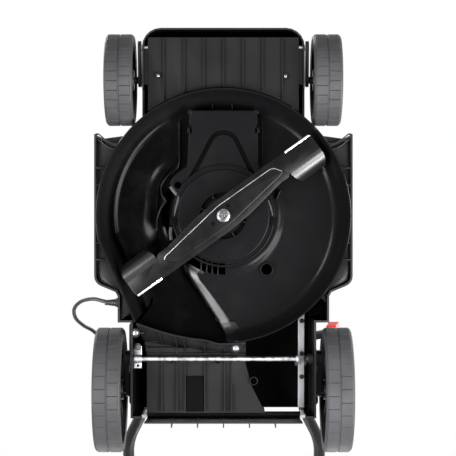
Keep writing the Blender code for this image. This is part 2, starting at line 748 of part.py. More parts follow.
def make_chute_floor():
    lefts = CHUTE_LEFT
    rights = [(38 * mm, DECK_RADIUS + 2 * mm), (38 * mm, DECK_RADIUS + 27 * mm), (38 * mm, DECK_RADIUS + 41 * mm)]
    rights += CHUTE_RIGHT[3:]
    heights = [FLOOR_LIP_Z, FLOOR_Z, FLOOR_Z + 1 * mm, FLOOR_Z + 3 * mm, FLOOR_Z + 5 * mm]
    columns = 9
    bm = bmesh.new()
    rows = []
    for number, (left, right, z) in enumerate(zip(lefts, rights, heights)):
        row = []
        for i in range(columns):
            share = i / (columns - 1)
            x = left[0] + (right[0] - left[0]) * share
            y = left[1] + (right[1] - left[1]) * share
            if number == 0:
                rim = DECK_RADIUS + WALL + 2 * mm
                beyond = x > OUTLET_RIGHT.x - 16 * mm
                y = math.sqrt(rim**2 - x**2) if beyond else max(outlet_line(x, GAP), OUTLET_LEFT.y + 1 * mm)
            if number == 1:
                y = max(y, outlet_line(x, 22 * mm))
            row.append((x, y, z))
        rows.append(row)
    loft(rows, closed=False, capped=False, into=bm)
    floor = put("chute_floor", bm, GREY)
    wall = floor.modifiers.new("wall", "SOLIDIFY")
    under = sum(face.normal.z * face.area for face in floor.data.polygons)
    wall.thickness = SHEET
    wall.offset = -1 if under < 0 else 1
    wall.use_even_offset = True
    for x in (-106.6, -80, -66, -32.4, 2, 14):
        rib = box(x * mm - 1 * mm, x * mm + 1 * mm, DECK_RADIUS + 39 * mm, CHUTE_END - 3 * mm, FLOOR_Z - 3 * mm, FLOOR_Z + 3 * mm)
        join(floor, rib, f"floor_rib_{round(x)}")
    bosses = (("left", OUTLET_LEFT, -2, 17, 62, 80, 5.2), ("right", OUTLET_RIGHT, 17, 12, 50, 76, 6.5))
    for name, corner, dx, dy, low, high, radius in bosses:
        x, y, low = corner.x + dx * mm, corner.y + dy * mm, low * mm
        join(floor, rod((x, y, low), (x, y, high * mm), radius * mm, 16), f"screw_boss_{name}")
        if name == "left":
            web = box(x, x + 14 * mm, y - 1.5 * mm, y + 1.5 * mm, low + 2 * mm, low + 14 * mm)
            join(floor, web, "screw_boss_web")
        cut(floor, rod((x, y, low - 5 * mm), (x, y, low + 9 * mm), 2.4 * mm, 10), f"screw_hole_{name}")
        screw = put(f"chute_screw_{name}", rod((x, y, low - 2.5 * mm), (x, y, low - GAP), 4.6 * mm, 20), ZINC)
        join(screw, rod((x, y, low - 1 * mm), (x, y, low + 8 * mm), 2 * mm, 10), f"screw_shank_{name}")
    return floor


def make_chute():
    """The channel over the chute floor: two walls and a ceiling that rises to the rear outlet."""
    lip = 6 * mm
    tops = [CEILING_HIGH - 1 * mm, 150 * mm, 157 * mm, 176 * mm, 197 * mm]
    feet = [FLOOR_LIP_Z + 36 * mm, FLOOR_Z + 15 * mm, FLOOR_Z + 4.5 * mm, FLOOR_Z + 6.5 * mm, FLOOR_Z + 8.5 * mm]
    bm = bmesh.new()
    rows = []
    for number, (left, right, top, foot) in enumerate(zip(CHUTE_LEFT, CHUTE_RIGHT, tops, feet)):
        x0, x1 = left[0], right[0]
        row = []
        for share in (0, 0, 0.06, 0.27, 0.5, 0.73, 0.94, 1, 1):
            x = x0 + (x1 - x0) * share
            y = left[1] + (right[1] - left[1]) * share
            if number == 0:
                y = outlet_line(x, lip)
            row.append([x, y, top])
        row[0][2] = foot
        row[-1][2] = foot
        row[1][2] = top - 8 * mm
        row[-2][2] = top - 8 * mm
        rows.append(row)
    loft(rows, closed=False, capped=False, into=bm)
    chute = put("discharge_chute", bm, BLACK)
    wall = chute.modifiers.new("wall", "SOLIDIFY")
    inner = sum(face.normal.z * face.area for face in chute.data.polygons)
    wall.thickness = 2.2 * mm
    wall.offset = -1 if inner > 0 else 1
    wall.use_even_offset = True
    for x, back in ((-100, 65), (30, 45)):
        y = BODY_REAR - back * mm
        post = rod((x * mm, y, 174 * mm), (x * mm, y, BODY_TOP - WALL - GAP), 7 * mm, 12)
        join(chute, post, f"chute_post_{x}")
    return chute


# Motor


def make_motor():
    seat = BASE_Z + BASE_THICK + GAP
    bore = SHAFT_RADIUS + 1 * mm
    cup = BEARING_RADIUS + 2.5 * mm
    base_top = BASE_Z + BASE_THICK
    profile = [
        (BASE_RADIUS, base_top),
        (BASE_RADIUS, BASE_Z),
        (bore, BASE_Z),
        (bore, base_top),
        (BEARING_RADIUS + GAP, base_top),
        (BEARING_RADIUS + GAP, base_top + BEARING_WIDTH + 2 * mm),
        (cup, base_top + BEARING_WIDTH + 2 * mm),
        (cup, base_top),
    ]
    base = turned("motor_base", profile, BLACK, (0, 0, 0), steps=32, closed=True)
    for i in range(8):
        angle = (22.5 + 45 * i) * deg
        x, y = 36 * mm * math.cos(angle), 36 * mm * math.sin(angle)
        turn = Matrix.Rotation(angle, 4, "Z")
        slot = box(-2.5 * mm, 2.5 * mm, -9 * mm, 9 * mm, BASE_Z - 5 * mm, base_top + 5 * mm)
        slot.transform(Matrix.Translation((x, y, 0)) @ turn)
        cut(base, slot, f"base_slot_{i}")
    lower_z = base_top + GAP
    ring = [
        (BEARING_RADIUS, BEARING_WIDTH),
        (BEARING_RADIUS, 0),
        (SHAFT_RADIUS + GAP, 0),
        (SHAFT_RADIUS + GAP, BEARING_WIDTH),
    ]
    turned("lower_bearing", ring, STEEL, (0, 0, lower_z), closed=True)
    top_boss = CAN_TOP - BEARING_WIDTH
    can_foot = seat + WALL + GAP
    can = [
        (SHAFT_RADIUS + 1 * mm, CAN_TOP),
        (cup, CAN_TOP),
        (CAN_RADIUS - 8 * mm, CAN_TOP - 8 * mm),
        (CAN_RADIUS, CAN_TOP - 18 * mm),
        (CAN_RADIUS, can_foot + SHEET),
        (BASE_RADIUS - 2 * mm, can_foot + SHEET),
        (BASE_RADIUS - 2 * mm, can_foot),
        (CAN_RADIUS - SHEET, can_foot),
        (CAN_RADIUS - SHEET, CAN_TOP - 19 * mm),
        (CAN_RADIUS - 10 * mm, CAN_TOP - 11 * mm),
        (cup, top_boss),
        (cup, top_boss - 4 * mm),
        (BEARING_RADIUS + GAP, top_boss - 4 * mm),
        (BEARING_RADIUS + GAP, CAN_TOP - SHEET),
        (SHAFT_RADIUS + 1 * mm, CAN_TOP - SHEET),
    ]
    turned("motor_can", can, CASING, (0, 0, 0), steps=24, closed=True)
    upper_z = CAN_TOP - SHEET - GAP - BEARING_WIDTH
    turned("upper_bearing", ring, STEEL, (0, 0, upper_z), closed=True)
    stator = [
        (CAN_RADIUS - SHEET - GAP, STATOR_HEIGHT),
        (CAN_RADIUS - SHEET - GAP, 0),
        (STATOR_BORE, 0),
        (STATOR_BORE, STATOR_HEIGHT),
    ]
    stack = turned("stator", stator, IRON, (0, 0, STATOR_Z), steps=24, closed=True)
    for i in range(12):
        angle = 30 * i * deg
        slot = box(STATOR_BORE - 2 * mm, STATOR_BORE + 13 * mm, -2 * mm, 2 * mm, STATOR_Z - 4 * mm, 172 * mm)
        slot.transform(Matrix.Rotation(angle, 4, "Z"))
        cut(stack, slot, f"stator_slot_{i}")
    rotor = [
        (STATOR_BORE - 0.8 * mm, STATOR_HEIGHT - 2 * mm),
        (STATOR_BORE - 0.8 * mm, 2 * mm),
        (STATOR_BORE - 6 * mm, 0),
        (SHAFT_RADIUS + GAP, 0),
        (SHAFT_RADIUS + GAP, STATOR_HEIGHT),
        (STATOR_BORE - 6 * mm, STATOR_HEIGHT),
    ]
    turned("rotor", rotor, IRON, (0, 0, STATOR_Z), steps=24, closed=True)
    hub_z = CUT_HEIGHT + BLADE_THICK + GAP
    shaft = [
        (0, CAN_TOP + 4 * mm),
        (SHAFT_RADIUS, CAN_TOP + 3 * mm),
        (SHAFT_RADIUS, hub_z + 8 * mm),
        (5 * mm, hub_z + 7 * mm),
        (5 * mm, hub_z + 0.2 * mm),
        (0, hub_z + 0.2 * mm),
    ]
    turned("motor_shaft", shaft, STEEL, (0, 0, 0), steps=24)
    hub = [
        (14 * mm, BASE_Z - 2.5 * mm - hub_z),
        (14 * mm, 7 * mm),
        (26 * mm, 5 * mm),
        (26 * mm, 0),
        (5 * mm + GAP, 0),
        (5 * mm + GAP, 7 * mm),
        (SHAFT_RADIUS + GAP, 8 * mm - GAP),
        (SHAFT_RADIUS + GAP, BASE_Z - 2.5 * mm - hub_z),
    ]
    turned("blade_hub", hub, CASING, (0, 0, hub_z), steps=24, closed=True)
    fan_z = STATOR_Z + STATOR_HEIGHT + 12 * mm
    disc = [
        (FAN_RADIUS, 2 * mm),
        (FAN_RADIUS, 0),
        (SHAFT_RADIUS + GAP, 0),
        (SHAFT_RADIUS + GAP, 10 * mm),
        (SHAFT_RADIUS + 5 * mm, 10 * mm),
        (SHAFT_RADIUS + 5 * mm, 2 * mm),
    ]
    fan = turned("cooling_fan", disc, PALE, (0, 0, fan_z), steps=24, closed=True)
    for i in range(9):
        vane = box(18 * mm, FAN_RADIUS - 2 * mm, -1 * mm, 1 * mm, fan_z + 1 * mm, fan_z + 13 * mm)
        vane.transform(Matrix.Rotation(40 * i * deg, 4, "Z"))
        join(fan, vane, f"fan_vane_{i}")
    turned(
        "run_capacitor",
        [(0, 62 * mm), (16 * mm, 62 * mm), (18 * mm, 60 * mm), (18 * mm, 0), (0, 0)],
        PALE,
        (0, -140 * mm, BODY_TOP + GAP),
        steps=20,
    )


def make_duct_cover():
    """The shallow tray under the front of the deck that covers the motor's cables."""
    half, front, low = 59 * mm, 33 * mm - DECK_RADIUS, BASE_Z + 5 * mm
    reach = BELL_OUTER + 3 * mm
    start = -math.degrees(math.acos(half / reach))
    edge = arc((0, 0), reach, -180 - start, start, 8)
    outline = [(-half, front), (half, front)] + list(reversed(edge))
    tray = put("duct_cover", plate(outline, "Z", low, low + 12 * mm), BLACK)
    cut(tray, plate(inset(outline, SHEET), "Z", low + SHEET, low + 20 * mm), "tray_hollow")
    for x, y in ((-50 * mm, front + 10 * mm), (50 * mm, front + 10 * mm), (-50 * mm, -BELL_OUTER), (50 * mm, -BELL_OUTER)):
        top = ceiling_at(x, y) - GAP - 0.4 * mm
        join(tray, rod((x, y, low + 1 * mm), (x, y, top), 4.5 * mm, 12), f"tray_post_{round(x / mm)}_{round(y / mm)}")
    return tray


# Blade


def make_blade():
    """A flat bar with ground edges at its ends and upturned sails behind them."""
    slope = math.atan2(-0.5829, 0.8126)
    low = CUT_HEIGHT
    tip = BLADE_RADIUS / mm
    half = [
        (0, 27.5),
        (tip - 87, 27.5),
        (tip - 55, 27),
        (tip - 2, 27),
        (tip, 20),
        (tip, -14),
        (tip - 7, -27),
        (tip - 39, -27),
        (tip - 49, -24),
        (tip - 61, -12),
        (tip - 87, -11),
        (40, -24),
    ]
    outline = [(x * mm, -y * mm) for x, y in half]
    outline += [(-x, -y) for x, y in outline]
    bm = plate(outline, "Z", low, low + BLADE_THICK)
    wings = []
    for side in (1, -1):
        sail = [
            (BLADE_RADIUS - 47 * mm, 16 * mm, low + BLADE_THICK - 0.5 * mm),
            (BLADE_RADIUS - 9 * mm, 16 * mm, low + BLADE_THICK - 0.5 * mm),
            (BLADE_RADIUS - 9 * mm, 26.5 * mm, low + 20 * mm),
            (BLADE_RADIUS - 41 * mm, 26.5 * mm, low + 20 * mm),
        ]
        far = [(x, y - 2.8 * mm, z) for x, y, z in sail]
        wing = loft([sail, far])
        wing.transform(Matrix.Rotation(0 if side > 0 else math.pi, 4, "Z"))
        wing.transform(Matrix.Rotation(slope, 4, "Z"))
        wings.append(wing)
    bm.transform(Matrix.Rotation(slope, 4, "Z"))
    blade = put("blade", bm, PAINTED)
    for number, wing in enumerate(wings):
        join(blade, wing, f"blade_sail_{number}")
    bolt_hole = rod((0, 0, low - 5 * mm), (0, 0, low + 9 * mm), 5 * mm + GAP, 20)
    cut(blade, bolt_hole, "blade_bore")
    for x, y in ((16, -9.5), (-22, 1)):
        spot = Matrix.Rotation(slope, 4, "Z") @ Vector((x * mm, y * mm, 0))
        hole = rod((spot.x, spot.y, low - 5 * mm), (spot.x, spot.y, low + 9 * mm), 3.7 * mm, 12)
        cut(blade, hole, f"blade_hole_{x}")
    bolt = put("blade_bolt", rod((0, 0, low - 9.5 * mm), (0, 0, low - GAP), 8.5 * mm, 6), ZINC)
    join(bolt, rod((0, 0, low - 3 * mm), (0, 0, low - GAP), 11 * mm, 24), "bolt_flange")
    join(bolt, rod((0, 0, low - 2 * mm), (0, 0, low + BLADE_THICK), 5 * mm, 16), "bolt_shank")
    return blade



# Wheels, cranks and the height adjuster


def wheel_solid(name, radius, inner, side, centre_y):
    """A moulded wheel: hub, dished web and a rim with tread blocks."""
    centre = Vector((0, centre_y, radius))
    x0 = inner
    bore = STUB_RADIUS + RUN
    hub = 17 * mm
    rim = radius - TREAD_DEPTH - 5 * mm
    w = WHEEL_WIDTH
    profile = [
        (hub, w - HUB_RECESS),
        (hub + 3 * mm, w * 0.62),
        (rim, w * 0.62),
        (rim, w * 0.54),
        (hub, w * 0.54),
        (hub, 2 * mm),
        (bore, 2 * mm),
        (bore, w - HUB_RECESS),
    ]
    at = Vector((side * x0, centre.y, centre.z))
    made = turned(name, profile, TREAD, at, "X", steps=24, closed=True)
    if side < 0:
        made.rotation_euler = (0, -math.pi / 2, 0)
    outline = []
    pitch = 360 / TREAD_BLOCKS
    for i in range(TREAD_BLOCKS):
        for share, r in ((0.0, radius), (0.68, radius), (0.84, radius - TREAD_DEPTH)):
            angle = (i + share) * pitch - 90
            outline += arc(centre.yz, r, angle, angle, 1)[:1]
    inner_ring = list(reversed(arc(centre.yz, rim - 2 * mm, 0, 360 - 15, 23)))
    low, high = sorted((side * x0, side * (x0 + w)))
    bm = bmesh.new()
    rings = []
    for x in (low, high):
        outer = [bm.verts.new((x, *p)) for p in outline]
        within = [bm.verts.new((x, *p)) for p in inner_ring]
        rings.append((outer, within))
    for outer, within in rings:
        edges = []
        for loop in (outer, within):
            for a, b in zip(loop, loop[1:] + loop[:1]):
                edges.append(bm.edges.get((a, b)) or bm.edges.new((a, b)))
        bmesh.ops.triangle_fill(bm, use_beauty=True, edges=edges)
    for a, b in zip(rings[0], rings[1]):
        count = len(a)
        for i in range(count):
            j = (i + 1) % count
            bm.faces.new((a[i], a[j], b[j], b[i]))
    return made, bm


def make_wheel(name, radius, inner, side, centre_y):
    made, tread = wheel_solid(name, radius, inner, side, centre_y)
    join(made, tread, name + "_tread")
    cap = [
        (0, WHEEL_WIDTH + 2.5 * mm),
        (radius * 0.30, WHEEL_WIDTH + 1.5 * mm),
        (radius * 0.36, WHEEL_WIDTH - 1 * mm),
        (radius * 0.36, WHEEL_WIDTH - HUB_RECESS + GAP),
        (0, WHEEL_WIDTH - HUB_RECESS + GAP),
    ]
    cover = turned(name.replace("wheel", "hub_cap"), cap, RED, (side * inner, centre_y, radius), "X", steps=20)
    if side < 0:
        cover.rotation_euler = (0, -math.pi / 2, 0)
    return made


def crank_arm(pivot, x0, x1, into=None):
    wheel = (pivot.y + CRANK_REACH, pivot.z + CRANK_RISE)
    outline = capsule((pivot.y, pivot.z), wheel, CRANK_HALF_WIDTH, CRANK_HALF_WIDTH, 7)
    return plate(outline, "X", x0, x1, into)


def throw_plate(pivot, x0, x1):
    """The short cheek between an axle and the pin that the height link pushes."""
    outline = capsule(pivot.yz, (pivot + THROW).yz, 6.2 * mm, 6.2 * mm, 6)
    return plate(outline, "X", x0, x1)


def make_rear_axle():
    pivot = REAR_PIVOT
    origin = (0, pivot.y, pivot.z)
    left_end = -(REAR_WHEEL_INNER - 10 * mm)
    shaft = put("rear_axle_rod", rod((left_end, *pivot.yz), (REAR_THROW_X, *pivot.yz), ROD_RADIUS, 16), ZINC, origin)
    join(shaft, throw_plate(pivot, REAR_THROW_X - 1 * mm, REAR_THROW_X + THROW_PLATE), "throw_plate_left")
    far_plate = LINK_WEB_X + LINK_WIDTH + 1 * mm
    pin_y, pin_z = (pivot + THROW).yz
    join(shaft, rod((REAR_THROW_X + 1 * mm, pin_y, pin_z), (far_plate - GAP, pin_y, pin_z), PIN_RADIUS, 12), "throw_pin")
    hub_in, hub_out = REAR_WHEEL_INNER - 12.5 * mm, REAR_WHEEL_INNER - 1 * mm
    wheel_y, wheel_z = pivot.y + CRANK_REACH, pivot.z + CRANK_RISE
    stub_end = REAR_WHEEL_INNER + WHEEL_WIDTH - 4 * mm
    right = put("rear_crank_left", throw_plate(pivot, far_plate, far_plate + THROW_PLATE), BLACK, origin)
    inner_stub = rod((far_plate + 1 * mm, *pivot.yz), (hub_in + 1 * mm, *pivot.yz), BUSH_STUB_RADIUS, 20)
    join(right, inner_stub, "bush_stub")
    join(right, rod((hub_in + 0.5 * mm, *pivot.yz), (hub_out, *pivot.yz), HUB_BOSS_RADIUS, 20), "crank_boss_left")
    join(right, crank_arm(pivot, hub_in + 3 * mm, hub_out - 1 * mm), "crank_arm_left")
    join(right, rod((hub_in + 4 * mm, wheel_y, wheel_z), (stub_end, wheel_y, wheel_z), STUB_RADIUS, 16), "wheel_stub_left")
    left = put("rear_crank_right", rod((-hub_out, *pivot.yz), (left_end - GAP, *pivot.yz), HUB_BOSS_RADIUS, 20), BLACK, origin)
    join(left, crank_arm(pivot, -hub_out + 1 * mm, left_end - 2 * mm), "crank_arm_right")
    join(left, rod((-stub_end, wheel_y, wheel_z), (left_end - 3 * mm, wheel_y, wheel_z), STUB_RADIUS, 16), "wheel_stub_right")
    bush = [
        (BUSH_STUB_RADIUS + 2.6 * mm, 12 * mm),
        (BUSH_STUB_RADIUS + 2.6 * mm, 0),
        (BUSH_STUB_RADIUS + RUN, 0),
        (BUSH_STUB_RADIUS + RUN, 12 * mm),
    ]
    turned("axle_bush", bush, BLACK, (TAIL_HALF - 12.5 * mm, *pivot.yz), "X", steps=24, closed=True)


LEVER_X = 160.2 * mm
LEVER_TOP = Vector((0, 212 * mm, 226 * mm))


def make_height_lever():
    """A flat lever that rises beside the body and bends out over the wheel to its red grip."""
    pivot = REAR_PIVOT
    origin = (0, pivot.y, pivot.z)
    thick = 4 * mm
    x0 = REAR_WHEEL_INNER - 12.5 * mm
    bm = bmesh.new()
    rings = []
    width = 16 * mm
    way = (LEVER_TOP - pivot).normalized()
    foot = pivot + way * (HUB_BOSS_RADIUS + GAP)
    side = Vector((0, way.z, -way.y))
    spots = [
        (foot, x0),
        (foot.lerp(LEVER_TOP, 0.75), x0),
        (foot.lerp(LEVER_TOP, 0.92), x0 + 6 * mm),
        (LEVER_TOP, x0 + 22 * mm),
        (LEVER_TOP + way * 4 * mm, x0 + 34 * mm),
    ]
    for spot, x in spots:
        a, b = spot - side * width / 2, spot + side * width / 2
        rings.append([(x, a.y, a.z), (x, b.y, b.z), (x + thick, b.y, b.z - 0.1 * mm), (x + thick, a.y, a.z - 0.1 * mm)])
    loft(rings, into=bm)
    lever = put("height_lever", bm, PAINTED, origin)
    start = spots[-1][0] + way * GAP
    grip = bmesh.new()
    x1 = spots[-1][1]
    rings = []
    for up, half, low, high in ((0, 11, -5, 9), (4, 13, -7, 11), (26, 13, -7, 13), (31, 9, -3, 10)):
        centre = start + way * up * mm
        a, b = centre - side * half * mm, centre + side * half * mm
        shift = up * 0.25 * mm
        rings.append(
            [
                (x1 + low * mm + shift, a.y, a.z),
                (x1 + low * mm + shift, b.y, b.z),
                (x1 + high * mm + shift, b.y, b.z),
                (x1 + high * mm + shift, a.y, a.z),
            ]
        )
    put("lever_grip", loft(rings, into=grip), RED, origin)
    return lever


def make_front_axle():
    pivot = FRONT_PIVOT
    origin = (0, pivot.y, pivot.z)
    arm_in = NOSE_HALF + 1.2 * mm
    arm_out = arm_in + CRANK_THICK
    shaft = put("front_axle_rod", rod((-arm_in, *pivot.yz), (arm_in, *pivot.yz), FRONT_ROD_RADIUS, 16), ZINC, origin)
    web_x = FRONT_WEB_X
    plate_x = web_x + SHEET + 3 * mm
    join(shaft, throw_plate(pivot, plate_x, plate_x + THROW_PLATE), "front_throw_plate")
    pin_y, pin_z = (pivot + THROW).yz
    join(shaft, rod((web_x - 3 * mm, pin_y, pin_z), (plate_x + 1 * mm, pin_y, pin_z), PIN_RADIUS, 12), "front_throw_pin")
    wheel_y, wheel_z = pivot.y + CRANK_REACH, pivot.z + CRANK_RISE
    stub_end = FRONT_WHEEL_INNER + WHEEL_WIDTH - 4 * mm
    for side, name in ((-1, "right"), (1, "left")):
        a, b = sorted((side * (arm_in + GAP), side * arm_out))
        crank = put(f"front_crank_{name}", crank_arm(pivot, a, b), BLACK, origin)
        stub = rod((side * (arm_out - 2 * mm), wheel_y, wheel_z), (side * stub_end, wheel_y, wheel_z), STUB_RADIUS, 16)
        join(crank, stub, f"front_wheel_stub_{name}")


def make_link():
    """The angle-section bar from the rear crank pin to the front one, bent inwards over the deck."""
    rear = Vector((LINK_WEB_X, 0, 0)) + REAR_PIVOT + THROW
    front = Vector((FRONT_WEB_X, 0, 0)) + FRONT_PIVOT + THROW
    rise = (rear.z - front.z) / (rear.y - front.y)
    section = [
        (0, LINK_HEIGHT / 2),
        (0, -LINK_HEIGHT / 2),
        (LINK_WIDTH, -LINK_HEIGHT / 2),
        (LINK_WIDTH, -LINK_HEIGHT / 2 + SHEET),
        (SHEET, -LINK_HEIGHT / 2 + SHEET),
        (SHEET, LINK_HEIGHT / 2),
    ]
    rings = []
    for x, y in ((front.x, front.y - 9 * mm), (front.x, 60 * mm), (rear.x, HIP_REAR - 32 * mm), (rear.x, LINK_REAR_END)):
        z = front.z + rise * (y - front.y)
        narrow = 5.5 * mm if y < 100 * mm else 0
        rings.append([(x + max(0, a - (narrow if a == LINK_WIDTH else 0)), y, z + b) for a, b in section])
    link = put("height_link", loft(rings), GALVANISED, (0, rear.y, rear.z))
    for spot in (rear, front):
        hole = rod((spot.x - 8 * mm, *spot.yz), (spot.x + 8 * mm, *spot.yz), PIN_RADIUS + RUN, 12)
        cut(link, hole, f"link_pin_hole_{round(spot.y / mm)}")
    for y in (183 * mm, 240.5 * mm, 281 * mm):
        x = LINK_WEB_X + LINK_WIDTH / 2 + 1 * mm
        cut(link, rod((x, y, 100 * mm), (x, y, 146 * mm), 3 * mm, 12), f"link_hole_{round(y / mm)}")
    return link


def make_axle_clamp():
    """The bright strap that holds the rear rod up against the body."""
    y, z = REAR_PIVOT.y, REAR_PIVOT.z
    x0, x1 = -TAIL_HALF + WALL + 1.5 * mm, -TAIL_HALF + 17.5 * mm
    top = z + 0.8 * mm - GAP
    inner = ROD_RADIUS + RUN
    outer = inner + SHEET
    front, rear = y - 22 * mm, y + 16 * mm
    below = arc((y, z), outer, 180, 360, 8)
    above = list(reversed(arc((y, z), inner, 180, 360, 8)))
    outline = [(front, top), (front, top - SHEET), (y - outer, top - SHEET)] + below[1:-1]
    outline += [(y + outer, top - SHEET), (rear, top - SHEET), (rear, top), (y + inner, top)] + above[1:-1]
    outline += [(y - inner, top)]
    clamp = put("axle_clamp", plate(outline, "X", x0, x1), ZINC)
    middle = (x0 + x1) / 2
    cut(clamp, rod((middle, y + 11.5 * mm, z - 9 * mm), (middle, y + 11.5 * mm, z + 9 * mm), 2.2 * mm, 12), "clamp_hole")
    return clamp


# Rear flap

FLAP_Y = BODY_REAR + 9 * mm
FLAP_Z = BODY_TOP - 9 * mm
FLAP_HALF = TAIL_HALF - 22 * mm
FLAP_DROP = 104 * mm


def make_flap():
    origin = (0, FLAP_Y, FLAP_Z)
    skin = [
        (FLAP_Y + 6 * mm, FLAP_Z - 1 * mm),
        (FLAP_Y + 9 * mm, FLAP_Z - 14 * mm),
        (FLAP_Y + 3 * mm, FLAP_Z - FLAP_DROP),
        (FLAP_Y, FLAP_Z - FLAP_DROP),
        (FLAP_Y + 5.5 * mm, FLAP_Z - 14 * mm),
        (FLAP_Y + 2 * mm, FLAP_Z - 3 * mm),
    ]
    flap = put("rear_flap", plate(skin, "X", -FLAP_HALF, FLAP_HALF), BLACK, origin)
    barrel = rod((-FLAP_HALF, FLAP_Y, FLAP_Z), (FLAP_HALF, FLAP_Y, FLAP_Z), 6 * mm, 16)
    join(flap, barrel, "flap_barrel")
    cut(flap, rod((-FLAP_HALF - 9 * mm, FLAP_Y, FLAP_Z), (FLAP_HALF + 9 * mm, FLAP_Y, FLAP_Z), 3.5 * mm, 14), "flap_bore")
    for x in (-90, -45, 0, 45, 90):
        rib = box(x * mm - 1 * mm, x * mm + 1 * mm, FLAP_Y + 3.5 * mm, FLAP_Y + 12 * mm, FLAP_Z - 90 * mm, FLAP_Z - 20 * mm)
        join(flap, rib, f"flap_rib_{x}")
    ear = FLAP_HALF + 1 * mm
    pin = put("flap_pin", rod((-ear - 9 * mm, FLAP_Y, FLAP_Z), (ear + 9 * mm, FLAP_Y, FLAP_Z), 3 * mm, 12), ZINC)
    for side in (-1, 1):
        x0, x1 = sorted((side * ear, side * (ear + 8 * mm)))
        lug = capsule((BODY_REAR + 2.3 * mm, FLAP_Z), (FLAP_Y, FLAP_Z), 4 * mm, 6 * mm, 6)
        join(pin, plate(lug, "X", x0, x1), f"flap_lug_{side}")
    return flap


# Handles


def along(distance, lift=0.0, x=0.0):
    """A point beside the handle's line: so far up it from the lower fold, lifted off its face, at a given X."""
    spot = LOWER_FOLD + HANDLE_RUN * distance + HANDLE_FACE * lift
    return Vector((x, spot.y, spot.z))


CROSS_BAR = LOWER_LENGTH + 46 * mm
SWITCH_AT = HANDLE_LENGTH - 150 * mm
BAIL_REACH = 100 * mm
BAIL_LIFT = 62 * mm


def make_handles():
    foot, top = LOWER_FOOT_X, LOWER_TOP_X
    legs = [along(-22 * mm, 0, -foot), along(70 * mm, 0, -foot), along(190 * mm, 0, -top), along(CROSS_BAR, 0, -top)]
    legs += [Vector((-p.x, p.y, p.z)) for p in reversed(legs)]
    tube("lower_handle", rounded_path(legs, 45 * mm, 4), TUBE_RADIUS, PAINTED, LOWER_FOLD)
    bend = 60 * mm
    legs = [along(LOWER_LENGTH - 25 * mm, 0, -UPPER_X), along(HANDLE_LENGTH, 0, -UPPER_X)]
    legs += [Vector((-p.x, p.y, p.z)) for p in reversed(legs)]
    tube("upper_handle", rounded_path(legs, bend, 5), TUBE_RADIUS, PAINTED, UPPER_FOLD)
    sleeve = [
        (TUBE_RADIUS + GAP, 0),
        (TUBE_RADIUS + GAP, 1),
        (GRIP_RADIUS, 1),
        (GRIP_RADIUS, 0),
    ]
    length = 2 * (UPPER_X - bend - 14 * mm)
    sleeve = [(r, h * length) for r, h in reversed(sleeve)]
    grip = turned(
        "foam_grip", [sleeve[1], sleeve[0], sleeve[3], sleeve[2]], FOAM, (-length / 2, *GRIP_CENTRE.yz), "X", steps=20, closed=True
    )
    for side, name in ((-1, "right"), (1, "left")):
        bracket_x = LOWER_FOOT_X + TUBE_RADIUS + 1 * mm
        plates = bmesh.new()
        foot_z = BODY_TOP + GAP
        ear = [
            (FOLD_Y - 20 * mm, foot_z),
            (FOLD_Y + 20 * mm, foot_z),
        ] + arc((FOLD_Y, FOLD_Z), 13 * mm, 0, 180, 8)
        a, b = sorted((side * bracket_x, side * (bracket_x - 2 * TUBE_RADIUS - 2 * mm - SHEET)))
        outer = sorted((side * bracket_x, side * (bracket_x + SHEET)))
        inner_x = bracket_x - 2 * TUBE_RADIUS - 2 * mm
        inner = sorted((side * inner_x, side * (inner_x - SHEET)))
        bracket = put(f"handle_bracket_{name}", plate(ear, "X", *outer), BLACK)
        join(bracket, plate(ear, "X", *inner), f"bracket_inner_{name}")
        x0, x1 = min(outer[0], inner[0]), max(outer[1], inner[1])
        join(bracket, box(x0, x1, FOLD_Y - 20 * mm, FOLD_Y + 20 * mm, foot_z, foot_z + SHEET), f"bracket_base_{name}")
        bolt = rod((x0 - 2 * mm, FOLD_Y, FOLD_Z), (x1 + 2 * mm, FOLD_Y, FOLD_Z), 4.5 * mm, 16)
        cut(bracket, bolt, f"bracket_hole_{name}")
    knob_at = {
        "lower": (LOWER_FOLD, LOWER_FOOT_X + TUBE_RADIUS + 1 * mm + SHEET + GAP),
        "upper": (UPPER_FOLD, UPPER_X + TUBE_RADIUS + GAP),
    }
    for level_name, (spot, x) in knob_at.items():
        for side, name in ((-1, "right"), (1, "left")):
            lobes = []
            for i in range(18):
                angle = 20 * i
                r = KNOB_RADIUS * (0.86 + 0.14 * math.cos(angle * 3 * deg))
                lobes += arc((spot.y, spot.z), r, angle, angle, 1)[:1]
            a, b = sorted((side * (x + 4 * mm), side * (x + 16 * mm)))
            origin = (side * x, spot.y, spot.z)
            knob = put(f"{level_name}_knob_{name}", plate(lobes, "X", a, b), BLACK, origin)
            join(knob, rod((side * x, spot.y, spot.z), (side * (x + 6 * mm), spot.y, spot.z), 8 * mm, 16), f"{level_name}_knob_neck_{name}")


